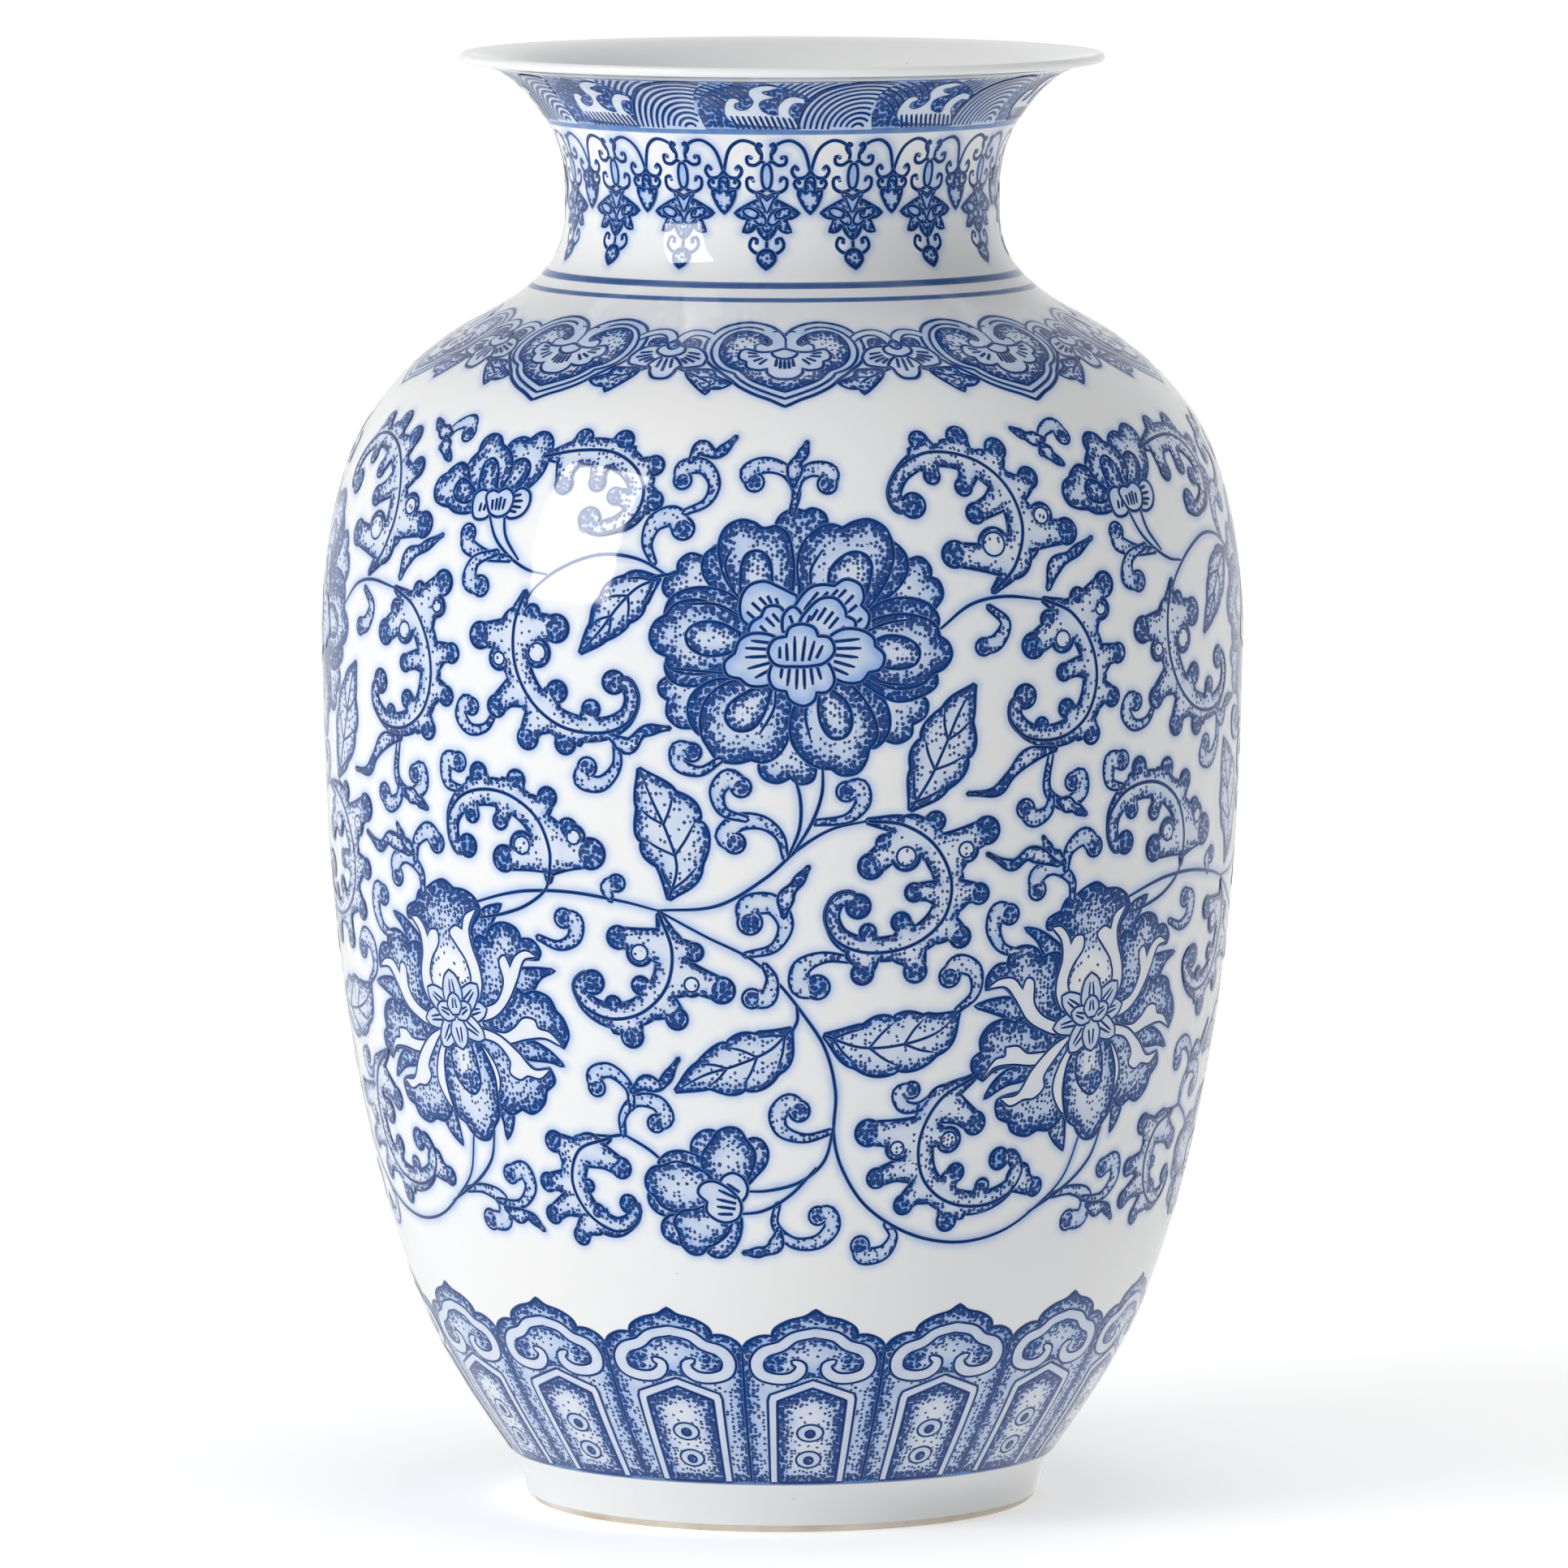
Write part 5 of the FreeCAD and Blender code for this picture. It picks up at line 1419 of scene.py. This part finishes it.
# The light that the surroundings give matt surfaces, and what the glaze mirrors in front and behind
AMBIENT = 0.315
FRONT_GLOW = 0.04
BACK_GLOW = 0.90
BEHIND = (0.0, 1.0, -0.5)   # towards the white side of the room: back and down
WHITE_FROM = 0.8            # how far that way a reflection has to point to be all white
FLOOR_HALF = 6.0
FLOOR_COLOUR = (0.85, 0.85, 0.85, 1.0)
FLOOR_ROUGHNESS = 0.7
# The floor's own light under the vase and away from it, and the distances between which it grows
FLOOR_GLOW = 0.42
FLOOR_GLOW_FAR = 0.86
FLOOR_GLOW_FROM, FLOOR_GLOW_TO = 0.05, 0.9
PURE_WHITE = (1.0, 1.0, 1.0, 1.0)


def camera():
    """The photo's view: a long lens from a little above, turned slightly down."""
    data = bpy.data.cameras.new("camera")
    data.lens, data.sensor_width = CAMERA_LENS, CAMERA_SENSOR
    data.clip_start, data.clip_end = CAMERA_SEES
    eye = bpy.data.objects.new("camera", data)
    eye.location = CAMERA_AT
    eye.rotation_euler = (math.pi / 2 - CAMERA_DOWN, 0.0, 0.0)
    bpy.context.scene.collection.objects.link(eye)
    bpy.context.scene.camera = eye


def soft_light(name, place, aim, size, power, diffuse=True, glossy=True):
    """A rectangular light; a real studio's flags decide what it lights and where it is mirrored."""
    data = bpy.data.lights.new(name, "AREA")
    data.shape = "RECTANGLE"
    data.size, data.size_y = size
    data.energy = power
    lamp = bpy.data.objects.new(name, data)
    lamp.location = place
    lamp.rotation_euler = (Vector(aim) - Vector(place)).to_track_quat("-Z", "Y").to_euler()
    lamp.visible_diffuse, lamp.visible_glossy = diffuse, glossy
    bpy.context.scene.collection.objects.link(lamp)


def ramp(tree, value, low, high, to_low, to_high):
    """A node that maps the range from low to high onto another and clamps to it."""
    node = tree.nodes.new("ShaderNodeMapRange")
    node.inputs["From Min"].default_value, node.inputs["From Max"].default_value = low, high
    node.inputs["To Min"].default_value, node.inputs["To Max"].default_value = to_low, to_high
    tree.links.new(value, node.inputs["Value"])
    return node


def surroundings():
    """A white backdrop for the camera, even light on the vase, and for the glaze to mirror a room that is
    white behind the vase and dim in front of it and overhead."""
    world = bpy.data.worlds.new("studio")
    world.use_nodes = True
    tree = world.node_tree
    new, link = tree.nodes.new, tree.links.new
    behind = new("ShaderNodeVectorMath")
    behind.operation = "DOT_PRODUCT"
    link(new("ShaderNodeTexCoord").outputs["Generated"], behind.inputs[0])
    behind.inputs[1].default_value = BEHIND
    room = ramp(tree, behind.outputs["Value"], 0.0, WHITE_FROM, FRONT_GLOW, BACK_GLOW)
    rays = new("ShaderNodeLightPath").outputs
    mirrored_room = new("ShaderNodeMix")
    mirrored_room.inputs["A"].default_value = AMBIENT
    link(rays["Is Glossy Ray"], mirrored_room.inputs["Factor"])
    link(room.outputs["Result"], mirrored_room.inputs["B"])
    seen = new("ShaderNodeMath")
    seen.operation = "MAXIMUM"
    link(rays["Is Camera Ray"], seen.inputs[0])
    link(mirrored_room.outputs["Result"], seen.inputs[1])
    backdrop = tree.nodes["Background"]
    link(seen.outputs[0], backdrop.inputs["Strength"])
    backdrop.inputs["Color"].default_value = PURE_WHITE
    bpy.context.scene.world = world


def pale_floor():
    """A floor whose own faint light grows away from the vase, so that it runs into the white backdrop."""
    mesh = bpy.data.meshes.new("floor")
    corners = [(-1, -1), (1, -1), (1, 1), (-1, 1)]
    mesh.from_pydata([(x * FLOOR_HALF, y * FLOOR_HALF, 0) for x, y in corners], [], [(0, 1, 2, 3)])
    material = bpy.data.materials.new("floor_white")
    material.use_nodes = True
    tree = material.node_tree
    shader = tree.nodes["Principled BSDF"].inputs
    shader["Base Color"].default_value = FLOOR_COLOUR
    shader["Roughness"].default_value = FLOOR_ROUGHNESS
    shader["Emission Color"].default_value = PURE_WHITE
    far = tree.nodes.new("ShaderNodeVectorMath")
    far.operation = "LENGTH"
    tree.links.new(tree.nodes.new("ShaderNodeTexCoord").outputs["Object"], far.inputs[0])
    glow = ramp(tree, far.outputs["Value"], FLOOR_GLOW_FROM, FLOOR_GLOW_TO, FLOOR_GLOW, FLOOR_GLOW_FAR)
    glow.interpolation_type = "SMOOTHSTEP"
    tree.links.new(glow.outputs["Result"], shader["Emission Strength"])
    mesh.materials.append(material)
    floor = bpy.data.objects.new("floor", mesh)
    bpy.context.scene.collection.objects.link(floor)
    floor.visible_glossy = False


def lights():
    """A broad key on the left, weaker lights above and in front, and a softbox that the glaze mirrors."""
    soft_light("key", (-1.5, -0.9, 0.75), LIGHTS_AIM, (0.9, 0.9), KEY_POWER, glossy=False)
    soft_light("top", (0.25, -0.1, 1.6), LIGHTS_AIM, (1.0, 1.0), TOP_POWER, glossy=False)
    soft_light("front", (0.3, -2.2, 0.9), LIGHTS_AIM, (0.9, 0.9), FRONT_POWER, glossy=False)
    soft_light("softbox", (-0.95, -0.715, 0.65), (-0.034, -0.0725, 0.179), (0.50, 0.80), SOFTBOX_POWER,
               diffuse=False)


camera()
pale_floor()
surroundings()
lights()
bpy.context.scene.view_settings.view_transform = "Standard"
